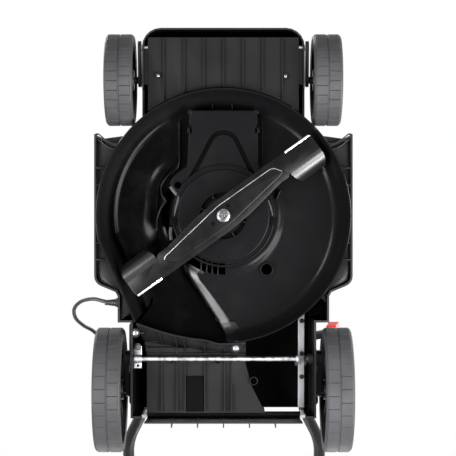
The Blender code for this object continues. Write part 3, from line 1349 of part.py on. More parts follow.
def make_controls():
    """The switch box inside the right leg, its safety button, the bail lever and the plug hook."""
    x1 = -UPPER_X + TUBE_RADIUS + GAP
    x0 = x1
    width = 52 * mm
    bm = box(x0, x0 + width, -52 * mm, 58 * mm, -24 * mm, 30 * mm)
    turn = Matrix.Rotation(HANDLE_SLOPE, 4, "X")
    place = Matrix.Translation(along(SWITCH_AT)) @ turn
    bm.transform(place)
    case = put("switch_box", bm, BLACK, UPPER_FOLD)
    soften(case, 6 * mm, 2)
    inlet = rod((x0 + 26 * mm, -50 * mm, -2 * mm), (x0 + 26 * mm, -78 * mm, -2 * mm), 13 * mm, 16)
    inlet.transform(place)
    join(case, inlet, "mains_inlet")
    button_x = x0 + 30 * mm
    well = rod((button_x, 30 * mm, 14 * mm), (button_x, 30 * mm, 40 * mm), 8.5 * mm + RUN, 20)
    well.transform(place)
    cut(case, well, "button_well")
    socket = rod((x0 + width - 14 * mm, 0, 0), (x0 + width + 10 * mm, 0, 0), 5 * mm, 20)
    socket.transform(place)
    cut(case, socket, "bail_socket")
    button = rod((button_x, 30 * mm, 23 * mm), (button_x, 30 * mm, 36.5 * mm), 8.5 * mm, 20)
    button.transform(place)
    put("safety_button", button, RED, place @ Vector((button_x, 30 * mm, 30 * mm)))
    left_x = UPPER_X - TUBE_RADIUS - GAP
    right_x = x0 + width - 10 * mm
    axis = along(SWITCH_AT)
    reach = HANDLE_LENGTH - SWITCH_AT
    inside = x0 + width + 7 * mm
    bar = [
        (right_x, 0, 0),
        (inside, 0, 0),
        (inside + 2 * mm, reach * 0.5, BAIL_LIFT * 0.9),
        (inside + 8 * mm, reach - 14 * mm, BAIL_LIFT + 16 * mm),
        (left_x - 16 * mm, reach - 14 * mm, BAIL_LIFT + 16 * mm),
        (left_x - 9 * mm, reach * 0.5, BAIL_LIFT * 0.9),
        (left_x - 8 * mm, 0, 0),
        (left_x, 0, 0),
    ]
    path = [along(SWITCH_AT + y, z, x) for x, y, z in bar]
    tube("bail_lever", rounded_path(path, 14 * mm, 3), 4 * mm, RED, axis, 2)
    hook_x = UPPER_X
    ring = [
        (TUBE_RADIUS + 3 * mm, 20 * mm),
        (TUBE_RADIUS + 3 * mm, 0),
        (TUBE_RADIUS + GAP, 0),
        (TUBE_RADIUS + GAP, 20 * mm),
    ]
    clip = turned("cord_hook", ring, BLACK, along(SWITCH_AT - 110 * mm, 0, hook_x), steps=20, closed=True)
    clip.rotation_euler = (HANDLE_SLOPE - math.pi / 2, 0, 0)
    arm = rod(
        along(SWITCH_AT - 100 * mm, 0, hook_x - TUBE_RADIUS - 1.5 * mm),
        along(SWITCH_AT - 100 * mm, 0, hook_x - 34 * mm),
        4 * mm,
        12,
    )
    join(clip, arm, "hook_arm")
    tip = rod(
        along(SWITCH_AT - 104 * mm, 0, hook_x - 32 * mm),
        along(SWITCH_AT - 80 * mm, 0, hook_x - 32 * mm),
        4 * mm,
        12,
    )
    join(clip, tip, "hook_tip")


# Lead

# The free loop of the lead: steps in millimetres from the gland, then from the lower fold's knob.
FROM_GLAND = [
    (-11, 0, 0),
    (-26, -2, 0),
    (-46, -6, 6),
    (-68, -1, 20),
    (-82, 13, 40),
    (-82, 31, 66),
    (-70, 46, 92),
    (-53, 59, 116),
]
TO_FOLD = [(-70, -71, -17), (-56, -48, -14.5), (-45, -31, -15)]


def make_leads():
    """One cable in three stretches, which part where the handle folds, so that no stretch meets another."""
    route = [GLAND + Vector(step) * mm for step in FROM_GLAND]
    route += [LOWER_FOLD + Vector((-LOWER_FOOT_X, 0, 0)) + Vector(step) * mm for step in TO_FOLD]
    outside = LOWER_FOOT_X + 37 * mm
    parting = LOWER_FOLD + Vector((-outside, -14 * mm, -9 * mm))
    way = Vector((0.06, math.cos(25 * deg), math.sin(25 * deg))).normalized()
    route += [parting - way * 7 * mm]
    tube("lead_loop", smooth_route(route, 24) + [parting - way * 0.4 * mm], LEAD_RADIUS, CORD, (0, 0, 0), 2)
    beside = LEAD_RADIUS + TUBE_RADIUS + 0.2 * mm
    first = [
        parting + way * 8 * mm,
        along(8 * mm, 0, -outside + 1 * mm),
        along(22 * mm, 2.5 * mm, -outside + 3 * mm),
        along(40 * mm, 8 * mm, -LOWER_FOOT_X - 26 * mm),
        along(75 * mm, beside + 1 * mm, -LOWER_FOOT_X - 12 * mm),
        along(130 * mm, beside + 0.5 * mm, -(LOWER_FOOT_X + LOWER_TOP_X) / 2),
        along(190 * mm, beside, -LOWER_TOP_X + 1 * mm),
        along(LOWER_LENGTH - 160 * mm, beside, -LOWER_TOP_X),
        along(LOWER_LENGTH - 120 * mm, beside, -LOWER_TOP_X - 1.5 * mm),
        along(LOWER_LENGTH - 85 * mm, beside, -UPPER_X + 6 * mm),
        along(LOWER_LENGTH - 60 * mm, beside, -UPPER_X + 0.3 * mm),
    ]
    lower = [parting] + smooth_route(first, 20) + [along(LOWER_LENGTH - 42 * mm, beside, -UPPER_X)]
    tube("lead_lower", lower, LEAD_RADIUS, CORD, LOWER_FOLD, 2)
    second = [
        along(LOWER_LENGTH - 42 * mm + GAP, beside, -UPPER_X),
        along(LOWER_LENGTH + 80 * mm, beside, -UPPER_X),
        along(LOWER_LENGTH + 260 * mm, beside, -UPPER_X),
        along(SWITCH_AT - 90 * mm, beside, -UPPER_X + 3 * mm),
        along(SWITCH_AT - 68 * mm, beside - 2 * mm, -UPPER_X + 20 * mm),
        along(SWITCH_AT - 60 * mm, beside - 2 * mm, -UPPER_X + 21.5 * mm),
        along(SWITCH_AT - 52.5 * mm, beside - 2 * mm, -UPPER_X + 21.5 * mm),
    ]
    tube("lead_upper", smooth_route(second[:-1], 17) + second[-1:], LEAD_RADIUS, CORD, UPPER_FOLD, 2)
    stem = [
        (0, 9 * mm),
        (4.6 * mm, 9 * mm),
        (4.9 * mm, -GAP * 3),
        (8.2 * mm, -GAP * 3),
        (8.2 * mm, -4 * mm),
        (4.4 * mm, -10.4 * mm),
        (0, -10.4 * mm),
    ]
    gland = turned("cable_gland", stem, BLACK, GLAND, "X", steps=16)
    return gland


make_deck()
make_shell()
make_hood()
make_carry_handle()
make_front_panel()
make_chute_floor()
make_chute()
make_motor()
make_duct_cover()
make_blade()
for wheel_side, wheel_name in ((-1, "right"), (1, "left")):
    make_wheel(f"front_wheel_{wheel_name}", FRONT_WHEEL_RADIUS, FRONT_WHEEL_INNER, wheel_side, FRONT_WHEEL_Y)
    make_wheel(f"rear_wheel_{wheel_name}", REAR_WHEEL_RADIUS, REAR_WHEEL_INNER, wheel_side, REAR_WHEEL_Y)
make_rear_axle()
make_height_lever()
make_front_axle()
make_link()
make_axle_clamp()
make_flap()
make_handles()
make_controls()
make_leads()
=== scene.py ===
"""An electric lawn mower seen from below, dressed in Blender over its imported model.

Lengths are in millimetres from the point on the ground under the blade spindle, +Z up and -Y towards
the mower's front, and are turned into the row's metres as each piece is made.
"""

import json
import math

import bmesh
import bpy
from mathutils import Matrix, Vector


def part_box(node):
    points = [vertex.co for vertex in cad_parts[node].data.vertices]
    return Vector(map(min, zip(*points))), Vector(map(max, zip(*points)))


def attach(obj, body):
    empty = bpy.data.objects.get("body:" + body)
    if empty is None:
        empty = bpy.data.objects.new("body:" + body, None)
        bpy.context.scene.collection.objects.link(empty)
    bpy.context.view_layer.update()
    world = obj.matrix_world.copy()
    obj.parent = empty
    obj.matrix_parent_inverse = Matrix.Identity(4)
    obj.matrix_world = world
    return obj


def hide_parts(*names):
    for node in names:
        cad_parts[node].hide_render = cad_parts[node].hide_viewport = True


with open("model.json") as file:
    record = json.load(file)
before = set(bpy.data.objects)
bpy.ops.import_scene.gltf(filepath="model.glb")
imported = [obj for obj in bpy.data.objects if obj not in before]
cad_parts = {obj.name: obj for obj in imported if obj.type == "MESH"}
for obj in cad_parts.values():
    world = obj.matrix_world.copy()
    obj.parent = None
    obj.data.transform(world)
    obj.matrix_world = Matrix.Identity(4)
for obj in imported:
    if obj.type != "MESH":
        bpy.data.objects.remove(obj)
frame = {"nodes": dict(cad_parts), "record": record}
bpy.context.scene.view_settings.view_transform = "Standard"
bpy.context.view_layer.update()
nodes = frame["nodes"]
BODY_OF = {node: body for body, names in frame["record"]["behaviour"]["bodies"].items() for node in names}

MM = 0.001
SPINDLE_Y = (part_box("blade_bolt")[0][1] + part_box("blade_bolt")[1][1]) / 2
PLACE = Matrix.Translation((0, SPINDLE_Y, 0)) @ Matrix.Scale(MM, 4)
TO_DRAWING = PLACE.inverted()


# Camera, floor and light

BLADE_PLANE = 50
CAMERA_DEPTH = 2566
CAMERA_X, CAMERA_Y = 7.8, 21.1
LENS, SENSOR = 120, 36
FLOOR_DROP = 0.0005

LAMPS = {
    # Place, aim, size and watts
    "upper_left": ((-1.6, -1.8, 2.6), (0, 0, 0.3), (1.6, 1.6), 60),
    "upper_right": ((2.0, -0.6, 2.2), (0, 0, 0.3), (1.4, 1.4), 35),
    "upper_back": ((0.2, 2.4, 2.4), (0, 0, 0.3), (1.8, 1.0), 30),
    "lower_right_rear": ((1.25, 0.2, -1.3), (0, -0.35, 0.1), (0.7, 1.5), 115),
    "lower_left_rear": ((-1.2, 0.3, -1.3), (0, -0.35, 0.1), (0.6, 1.2), 95),
    "lower_right_side": ((1.7, -0.35, -0.55), (-0.2, -0.35, 0.08), (0.5, 1.2), 34),
    "lower_rear_low": ((0.96, 0.67, -0.74), (0.1, -0.4, 0.07), (0.5, 0.5), 34),
    "lower_left_front": ((-1.3, -0.95, -1.4), (0, -0.35, 0.1), (0.5, 0.6), 36),
    "lower_right_front": ((0.9, -1.6, -1.4), (0, -0.35, 0.1), (0.5, 0.5), 14),
}


def place_camera():
    camera = bpy.data.cameras.new("underside_camera")
    camera.sensor_width = SENSOR
    camera.lens = LENS
    camera.clip_end = 60
    eye = bpy.data.objects.new("underside_camera", camera)
    eye.location = PLACE @ Vector((CAMERA_X, CAMERA_Y, BLADE_PLANE - CAMERA_DEPTH))
    eye.rotation_euler = (math.pi, 0, 0)
    bpy.context.scene.collection.objects.link(eye)
    bpy.context.scene.camera = eye


def add_node(tree, kind, **values):
    """A shader node with some of its sockets set."""
    made = tree.nodes.new(f"ShaderNode{kind}")
    for socket, value in values.items():
        made.inputs[socket].default_value = value
    return made


def lay_floor():
    """A pale floor that shows from above only, so that the underside can be looked at through it."""
    bm = bmesh.new()
    bmesh.ops.create_grid(bm, x_segments=1, y_segments=1, size=6)
    mesh = bpy.data.meshes.new("floor")
    bm.to_mesh(mesh)
    bm.free()
    floor = bpy.data.objects.new("floor", mesh)
    floor.location = (0, 0, -FLOOR_DROP)
    bpy.context.scene.collection.objects.link(floor)
    pale = bpy.data.materials.new("floor_pale")
    pale.use_nodes = True
    tree = pale.node_tree
    tree.nodes.clear()
    out = add_node(tree, "OutputMaterial")
    matt = add_node(tree, "BsdfDiffuse", Color=(0.36, 0.36, 0.36, 1))
    glow = add_node(tree, "Emission", Strength=0.6)
    both = add_node(tree, "AddShader")
    side = add_node(tree, "NewGeometry")
    mix = add_node(tree, "MixShader")
    tree.links.new(matt.outputs[0], both.inputs[0])
    tree.links.new(glow.outputs[0], both.inputs[1])
    tree.links.new(side.outputs["Backfacing"], mix.inputs["Fac"])
    tree.links.new(both.outputs[0], mix.inputs[1])
    tree.links.new(add_node(tree, "BsdfTransparent").outputs[0], mix.inputs[2])
    tree.links.new(mix.outputs[0], out.inputs["Surface"])
    mesh.materials.append(pale)
    floor.visible_diffuse = False
    floor.visible_glossy = False
    floor.visible_transmission = False
    floor.visible_shadow = False


def light_world():
    """White to the camera, in reflections and through clear pieces, and dimmer as a light on the surfaces."""
    world = bpy.data.worlds.new("studio")
    bpy.context.scene.world = world
    world.use_nodes = True
    tree = world.node_tree
    tree.nodes.clear()
    out = add_node(tree, "OutputWorld")
    seen = add_node(tree, "Background", Color=(1, 1, 1, 1), Strength=1)
    soft = add_node(tree, "Background", Color=(1, 1, 1, 1), Strength=0.45)
    path = add_node(tree, "LightPath")
    mix = add_node(tree, "MixShader")
    white = path.outputs["Is Camera Ray"]
    for ray in ("Is Glossy Ray", "Is Transmission Ray"):
        either = add_node(tree, "Math")
        either.operation = "MAXIMUM"
        tree.links.new(white, either.inputs[0])
        tree.links.new(path.outputs[ray], either.inputs[1])
        white = either.outputs[0]
    tree.links.new(white, mix.inputs["Fac"])
    tree.links.new(soft.outputs[0], mix.inputs[1])
    tree.links.new(seen.outputs[0], mix.inputs[2])
    tree.links.new(mix.outputs[0], out.inputs["Surface"])


def hang_lamps():
    for name, (place, aim, size, watts) in LAMPS.items():
        lamp = bpy.data.lights.new(name, "AREA")
        lamp.shape = "RECTANGLE"
        lamp.size, lamp.size_y = size
        lamp.energy = watts
        holder = bpy.data.objects.new(name, lamp)
        holder.location = place
        holder.rotation_euler = (Vector(aim) - Vector(place)).to_track_quat("-Z", "Y").to_euler()
        bpy.context.scene.collection.objects.link(holder)


# Finishes


class Finish:
    """A node material with short helpers for its textures."""

    def __init__(self, name, colour, roughness, metallic=0.0):
        self.material = bpy.data.materials.new(name)
        self.material.use_nodes = True
        self.tree = self.material.node_tree
        self.shader = self.tree.nodes["Principled BSDF"]
        self.shader.inputs["Base Color"].default_value = (*colour, 1)
        self.shader.inputs["Roughness"].default_value = roughness
        self.shader.inputs["Metallic"].default_value = metallic
        self.colour = colour
        self.place = add_node(self.tree, "TexCoord")

    def noise(self, scale, detail=4.0, stretch=None, rough=0.5):
        texture = add_node(self.tree, "TexNoise", Scale=scale, Detail=detail, Roughness=rough)
        spot = self.place.outputs["Object"]
        if stretch:
            mapping = add_node(self.tree, "Mapping", Scale=stretch)
            self.tree.links.new(spot, mapping.inputs["Vector"])
            spot = mapping.outputs["Vector"]
        self.tree.links.new(spot, texture.inputs["Vector"])
        return texture.outputs["Fac"]

    def ramp(self, value, stops):
        ramp = add_node(self.tree, "ValToRGB")
        for element, (spot, colour) in zip(ramp.color_ramp.elements, stops):
            element.position = spot
            element.color = (*colour, 1) if isinstance(colour, tuple) else (colour, colour, colour, 1)
        self.tree.links.new(value, ramp.inputs["Fac"])
        return ramp.outputs["Color"]

    def tint(self, value, low, high, start=0.35, end=0.65):
        """Colour that runs between two shares of the base colour."""
        stops = [(spot, tuple(min(1, c * share) for c in self.colour)) for spot, share in ((start, low), (end, high))]
        self.tree.links.new(self.ramp(value, stops), self.shader.inputs["Base Color"])

    def gloss(self, value, low, high):
        self.tree.links.new(self.ramp(value, [(0.3, low), (0.7, high)]), self.shader.inputs["Roughness"])

    def bump(self, value, height, strength=1.0):
        bump = add_node(self.tree, "Bump", Distance=height * MM, Strength=strength)
        self.tree.links.new(value, bump.inputs["Height"])
        self.tree.links.new(bump.outputs["Normal"], self.shader.inputs["Normal"])

    def dust(self, colour, amount, scale=26):
        """A thin film of dust and grass dirt in patches."""
        mix = add_node(self.tree, "Mix")
        mix.data_type = "RGBA"
        spots = self.ramp(self.noise(scale, 8, rough=0.65), [(0.5, 0.0), (0.8, amount)])
        self.tree.links.new(spots, mix.inputs["Factor"])
        base = self.shader.inputs["Base Color"]
        self.tree.links.new(base.links[0].from_socket, mix.inputs["A"])
        mix.inputs["B"].default_value = (*colour, 1)
        self.tree.links.new(mix.outputs["Result"], base)

    def paint_depth_shade(self, light, dark, low, high):
        """Painted shade: the colour darkens with height, standing in for the shade deep in the deck."""
        split = add_node(self.tree, "SeparateXYZ")
        self.tree.links.new(self.place.outputs["Object"], split.inputs["Vector"])
        rise = add_node(self.tree, "MapRange")
        rise.interpolation_type = "SMOOTHSTEP"
        rise.inputs["From Min"].default_value = low * MM
        rise.inputs["From Max"].default_value = high * MM
        self.tree.links.new(split.outputs["Z"], rise.inputs["Value"])
        self.tint(rise.outputs["Result"], light, dark, 0, 1)


MOULDED = {
    # Colour, roughness, depth of the grain and sheen
    "deck_black": ((0.0029, 0.0029, 0.0032), 0.2, 0.006, 0.043),
    # Painted highlight: a lighter, shinier black than the deck's, for the bright band along the ramp's lip.
    "painted_highlight_black": ((0.004, 0.004, 0.0044), 0.34, 0.006, 0.26),
    # Painted highlight: a black about six times lighter than the deck's, for the light caught on the rounded walls
    # round the motor seat.
    "painted_highlight_wall": ((0.018, 0.018, 0.019), 0.34, 0.006, 0.2),
    # Painted shade: a near-black copy of the deck's black, laid in recesses, holes, the tunnel and the insides of
    # covers.
    "painted_shade_black": ((0.0008, 0.0008, 0.0009), 0.6, 0.02, 0.02),
    "body_black": ((0.0065, 0.0065, 0.0072), 0.36, 0.02, 0.18),
    "panel_grey": ((0.0042, 0.0042, 0.0046), 0.4, 0.02, 0.1),
    "hood_red": ((0.4, 0.008, 0.007), 0.26, 0.004, 0.3),
    "tyre_grey": ((0.02, 0.02, 0.0216), 0.5, 0.04, 0.16),
    "sail_black": ((0.003, 0.003, 0.0033), 0.26, 0.006, 0.36),
    "pale_plastic": ((0.5, 0.5, 0.47), 0.42, 0.01, 0.5),
    "cord_jacket": ((0.008, 0.008, 0.009), 0.42, 0.02, 0.3),
}

METALS_AND_COATS = {
    # Colour, roughness, metallic, then the noise and reach of the tint, the gloss and the bump
    "bright_zinc": ((0.62, 0.62, 0.64), 0.3, 1, ((60, 5), 0.72, 1.1), ((120, 6), 0.22, 0.42), ((700, 2), 0.006)),
    "screw_zinc": ((0.2, 0.2, 0.21), 0.34, 1, ((180, 4), 0.45, 1.3), ((150, 5), 0.24, 0.5), ((260, 3), 0.05)),
    "dull_zinc": ((0.085, 0.085, 0.09), 0.36, 1, ((220, 4), 0.4, 1.5), ((160, 5), 0.28, 0.5), ((300, 3), 0.08)),
    "galvanised_strip": (
        (0.27, 0.275, 0.285), 0.45, 1, ((45, 6, (1, 0.3, 1)), 0.72, 1.15), ((90, 5), 0.36, 0.58), None,
    ),
    "ground_steel": (
        (0.5, 0.5, 0.52), 0.28, 1, ((30, 3, (1, 1, 12)), 0.85, 1.1), ((80, 4, (1, 1, 20)), 0.2, 0.36), None,
    ),
    "black_paint": (
        (0.0014, 0.0014, 0.0016), 0.24, 0, ((20, 5), 0.8, 1.25), ((35, 6), 0.22, 0.4), ((260, 4), 0.01, 0.6),
    ),
    # Partly wear and partly painted highlight: bare steel laid only on the sloped faces that turn to the upper left,
    # where the light falls.
    "worn_edge_and_painted_highlight": ((0.5, 0.5, 0.52), 0.3, 0.9, ((50, 5), 0.6, 1.2), ((60, 5), 0.25, 0.45), None),
    "laminations": ((0.16, 0.15, 0.15), 0.5, 1, ((40, 5), 0.8, 1.2), None, ((12, 1, (0.01, 0.01, 90)), 0.15)),
    "cast_metal": ((0.05, 0.05, 0.053), 0.5, 0.6, ((50, 5), 0.8, 1.15), None, ((420, 3), 0.04)),
    "foam_sleeve": ((0.02, 0.02, 0.02), 0.85, 0, ((140, 6), 0.7, 1.5), None, ((900, 2), 0.25)),
    "ground_edge": ((0.86, 0.86, 0.87), 0.18, 1, None, ((60, 3, (1, 14, 1)), 0.12, 0.3), None),
}


def make_finishes():
    made = {}
    for name, (colour, roughness, grain, sheen) in MOULDED.items():
        finish = made[name] = Finish(name, colour, roughness)
        finish.shader.inputs["Specular IOR Level"].default_value = sheen
        finish.tint(finish.noise(9, 5), 0.82, 1.18)
        finish.gloss(finish.noise(14, 6), roughness - 0.05, roughness + 0.07)
        finish.bump(finish.noise(900, 3), grain, 0.5)
    for name, (colour, roughness, metallic, *layers) in METALS_AND_COATS.items():
        finish = made[name] = Finish(name, colour, roughness, metallic)
        for lay_on, layer in zip((finish.tint, finish.gloss, finish.bump), layers):
            if layer:
                lay_on(finish.noise(*layer[0]), *layer[1:])
    # Painted shade: the deck's black darkens towards its deepest, highest part.
    made["deck_black"].paint_depth_shade(1, 0.04, 96, 118)
    made["deck_black"].dust((0.009, 0.0088, 0.0085), 0.3, 16)
    made["tyre_grey"].dust((0.07, 0.067, 0.062), 0.2)
    made["hood_red"].shader.inputs["Coat Weight"].default_value = 0.12
    made["black_paint"].shader.inputs["Specular IOR Level"].default_value = 0.11
    return {name: finish.material for name, finish in made.items()}


FINISHES = make_finishes()

WEARS = {
    "deck_black": ["deck", "motor_base", "duct_cover"],
    # Painted shade: the chute wears the near-black shade finish.
    "painted_shade_black": ["discharge_chute"],
    "body_black": [
        "body_shell", "carry_handle", "axle_bush", "cable_gland", "handle_bracket_left", "handle_bracket_right",
        "rear_crank_left", "rear_crank_right", "front_crank_left", "front_crank_right", "rear_flap", "switch_box",
        "cord_hook", "lower_knob_left", "lower_knob_right", "upper_knob_left", "upper_knob_right",
    ],
    "panel_grey": ["front_panel", "chute_floor"],
    "hood_red": [
        "motor_hood", "lever_grip", "bail_lever", "safety_button", "front_hub_cap_left", "front_hub_cap_right",
        "rear_hub_cap_left", "rear_hub_cap_right",
    ],
    "tyre_grey": ["front_wheel_left", "front_wheel_right", "rear_wheel_left", "rear_wheel_right"],
    "bright_zinc": [
        "axle_clamp", "chute_screw_left", "chute_screw_right", "flap_pin", "rear_axle_rod", "front_axle_rod",
        "blade_bolt",
    ],
    "galvanised_strip": ["height_link"],
    "ground_steel": ["motor_shaft", "upper_bearing", "lower_bearing"],
    "black_paint": ["blade", "height_lever", "lower_handle", "upper_handle"],
    "laminations": ["stator", "rotor"],
    "cast_metal": ["motor_can", "blade_hub"],
    "pale_plastic": ["cooling_fan", "run_capacitor"],
    "foam_sleeve": ["foam_grip"],
    "cord_jacket": ["lead_loop", "lead_lower", "lead_upper"],
}
FINISH_OF = {node: finish for finish, names in WEARS.items() for node in names}


def dress_nodes():
    for node, finish in FINISH_OF.items():
        slots = nodes[node].material_slots
        if not slots:
            nodes[node].data.materials.append(FINISHES[finish])
        for place in slots:
            place.material = FINISHES[finish]


# Shaping helpers, in millimetres

SHARP_EDGE = 32
MOULDED_EDGE = 38


def drop(bm, name, body, finish, stands_for=(), sharp=SHARP_EDGE):
    """A finished piece from a mesh drawn in millimetres. It rides on a body and may stand for CAD nodes."""
    bmesh.ops.transform(bm, matrix=PLACE, verts=bm.verts)
    mesh = bpy.data.meshes.new(name)
    bm.to_mesh(mesh)
    bm.free()
    return lay(mesh, name, body, finish, stands_for, sharp)


def lay(mesh, name, body, finish, stands_for, sharp):
    mesh.shade_smooth()
    mesh.set_sharp_from_angle(angle=math.radians(sharp))
    mesh.materials.clear()
    mesh.materials.append(FINISHES[finish])
    piece = bpy.data.objects.new(name, mesh)
    bpy.context.scene.collection.objects.link(piece)
    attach(piece, body)
    if stands_for:
        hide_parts(*stands_for)
    return piece


def gather(*parts):
    """Several meshes in one."""
    whole = bmesh.new()
    for part in parts:
        mesh = bpy.data.meshes.new("gathered")
        part.to_mesh(mesh)
        part.free()
        whole.from_mesh(mesh)
        bpy.data.meshes.remove(mesh)
    return whole


def swivel(bm, angle, axis="Z"):
    bmesh.ops.rotate(bm, cent=(0, 0, 0), matrix=Matrix.Rotation(angle, 3, axis), verts=bm.verts)
    return bm


def ease(bm, edges, width, segments=2):
    bmesh.ops.bevel(
        bm, geom=list(edges), offset=width, offset_type="OFFSET", segments=segments, profile=0.5, affect="EDGES",
        clamp_overlap=True, material=-1,
    )


def slab(outline, low, high, edge=0.0, both=False, segments=2):
    """A flat piece cut to an outline, with its lower edge rounded, or both."""
    bm = bmesh.new()
    under = bm.faces.new([bm.verts.new((x, y, low)) for x, y in outline])
    grown = bmesh.ops.extrude_face_region(bm, geom=[under])["geom"]
    upper = [v for v in grown if isinstance(v, bmesh.types.BMVert)]
    bmesh.ops.translate(bm, verts=upper, vec=(0, 0, high - low))
    bmesh.ops.recalc_face_normals(bm, faces=bm.faces)
    if edge:
        flat = [f for f in bm.faces if abs(f.normal.z) > 0.9]
        eased = [f for f in flat if both or f.calc_center_median().z < (low + high) / 2]
        ease(bm, {e for f in eased for e in f.edges}, edge, segments)
    return bm


def block(x0, x1, y0, y1, z0, z1, edge):
    """A small moulded block with its edges rounded."""
    bm = bmesh.new()
    bmesh.ops.create_cube(bm, size=1)
    bmesh.ops.scale(bm, vec=(x1 - x0, y1 - y0, z1 - z0), verts=bm.verts)
    bmesh.ops.translate(bm, vec=((x0 + x1) / 2, (y0 + y1) / 2, (z0 + z1) / 2), verts=bm.verts)
    if edge:
        ease(bm, bm.edges, min(edge, (x1 - x0) / 2.2, (y1 - y0) / 2.2, (z1 - z0) / 2.2))
    return bm


def turn(profile, centre=(0, 0, 0), steps=64, closed=False, lengthways=False):
    """A round piece from a profile of radius and height, on an upright axis or along X."""
    bm = bmesh.new()
    line = [bm.verts.new((radius, 0, height)) for radius, height in profile]
    edges = [bm.edges.new(pair) for pair in zip(line, line[1:])]
    if closed:
        edges.append(bm.edges.new((line[-1], line[0])))
    bmesh.ops.spin(
        bm, geom=line + edges, cent=(0, 0, 0), axis=(0, 0, 1), dvec=(0, 0, 0), angle=2 * math.pi,
        steps=steps, use_merge=True, use_duplicate=False,
    )
    bmesh.ops.remove_doubles(bm, verts=bm.verts, dist=0.001)
    bmesh.ops.recalc_face_normals(bm, faces=bm.faces)
    if lengthways:
        swivel(bm, math.pi / 2, "Y")
    bmesh.ops.translate(bm, vec=centre, verts=bm.verts)
    return bm


def eased_profile(profile, amount, steps=3):
    """A closed profile with each corner cut to a short curve."""
    points = [Vector(p) for p in profile]
    made = []
    for before, here, after in zip(points[-1:] + points[:-1], points, points[1:] + points[:1]):
        back, on = before - here, after - here
        reach = min(amount, back.length * 0.45, on.length * 0.45)
        start, end = here + back.normalized() * reach, here + on.normalized() * reach
        for i in range(steps + 1):
            share = i / steps
            made.append(start.lerp(here, share).lerp(here.lerp(end, share), share)[:])
    return made


def rounded(outline, amount, steps=4):
    return eased_profile(outline, amount, steps)


def rod(x, y, radius, low, high, steps=24):
    """A plain round pin or bore."""
    return turn([(0, low), (radius, low), (radius, high), (0, high)], (x, y, 0), steps)


def ring(inner, outer, low, high, amount, centre=(0, 0, 0), steps=40):
    """A moulded ring with eased corners."""
    profile = [(inner, low), (outer, low), (outer, high), (inner, high)]
    return turn(eased_profile(profile, amount), centre, steps, True)


def polar(radius, degrees):
    return radius * math.cos(math.radians(degrees)), radius * math.sin(math.radians(degrees))


def arc(radius, start, end, steps):
    return [polar(radius, start + (end - start) * i / steps) for i in range(steps + 1)]


def hexagon(radius, degrees=0, x=0, y=0):
    return [(x + u, y + v) for u, v in (polar(radius, 60 * i + degrees) for i in range(6))]


def curve_through(points, steps):
    """A smooth line through points."""
    line = [Vector(p) for p in points]
    line = [line[0] * 2 - line[1]] + line + [line[-1] * 2 - line[-2]]
    made = []
    for a, b, c, d in zip(line, line[1:], line[2:], line[3:]):
        for i in range(steps):
            t = i / steps
            bend, twist = 2 * a - 5 * b + 4 * c - d, 3 * b - a - 3 * c + d
            made.append(0.5 * (2 * b + (c - a) * t + bend * t**2 + twist * t**3))
    return made + [line[-2]]


def band(points, width):
    """The outline of a strip of a width along a line."""
    line = [Vector(p) for p in points]
    left, right = [], []
    for i, spot in enumerate(line):
        way = (line[min(i + 1, len(line) - 1)] - line[max(i - 1, 0)]).normalized()
        side = Vector((-way.y, way.x)) * width / 2
        left.append((spot + side)[:])
        right.append((spot - side)[:])
    return left + right[::-1]


def wall(points, width, low, high, edge, steps=4, segments=2):
    """A standing strip of a width along a smooth line."""
    return slab(band(curve_through(points, steps), width), low, high, edge, segments=segments)


def thicken(bm, thickness):
    """Gives a skin whose smooth side looks down its thickness."""
    bmesh.ops.recalc_face_normals(bm, faces=bm.faces)
    if sum(f.normal.z * f.calc_area() for f in bm.faces) > 0:
        bmesh.ops.reverse_faces(bm, faces=bm.faces)
    bmesh.ops.solidify(bm, geom=bm.faces[:], thickness=thickness)
    return bm


def coat(piece, finish, chosen):
    """Gives the faces that a test picks another finish."""
    piece.data.materials.append(FINISHES[finish])
    slot = len(piece.data.materials) - 1
    for face in piece.data.polygons:
        if chosen(face):
            face.material_index = slot


def carve(piece, *cutters):
    """Cuts shapes out of a piece and keeps its finish."""
    whole = gather(*cutters)
    bmesh.ops.transform(whole, matrix=PLACE, verts=whole.verts)
    mesh = bpy.data.meshes.new("cutter")
    whole.to_mesh(mesh)
    whole.free()
    tool = bpy.data.objects.new("cutter", mesh)
    bpy.context.scene.collection.objects.link(tool)
    cut = piece.modifiers.new("cut", "BOOLEAN")
    cut.operation = "DIFFERENCE"
    cut.object = tool
    cut.solver = "EXACT"
    bpy.context.view_layer.update()
    carved = bpy.data.meshes.new_from_object(piece.evaluated_get(bpy.context.evaluated_depsgraph_get()))
    piece.modifiers.remove(cut)
    bpy.data.objects.remove(tool)
    piece.data = carved
    carved.set_sharp_from_angle(angle=math.radians(SHARP_EDGE))


def refine(node, width):
    """A copy of a CAD node with its faces merged and its edges rounded."""
    bm = bmesh.new()
    bm.from_mesh(nodes[node].data)
    bmesh.ops.remove_doubles(bm, verts=bm.verts, dist=1e-5)
    bmesh.ops.dissolve_limit(bm, angle_limit=math.radians(0.6), verts=bm.verts, edges=bm.edges)
    mesh = bpy.data.meshes.new(f"{node}_moulding")
    bm.to_mesh(mesh)
    bm.free()
    piece = lay(mesh, f"{node}_moulding", BODY_OF[node], FINISH_OF[node], (node,), MOULDED_EDGE)
    if width:
        round_over = piece.modifiers.new("rounded_edges", "BEVEL")
        round_over.width = width * MM
        round_over.segments = 2
        round_over.limit_method = "ANGLE"
        round_over.angle_limit = math.radians(MOULDED_EDGE)
        round_over.use_clamp_overlap = True
        round_over.harden_normals = True
    return piece


# Scroll deck

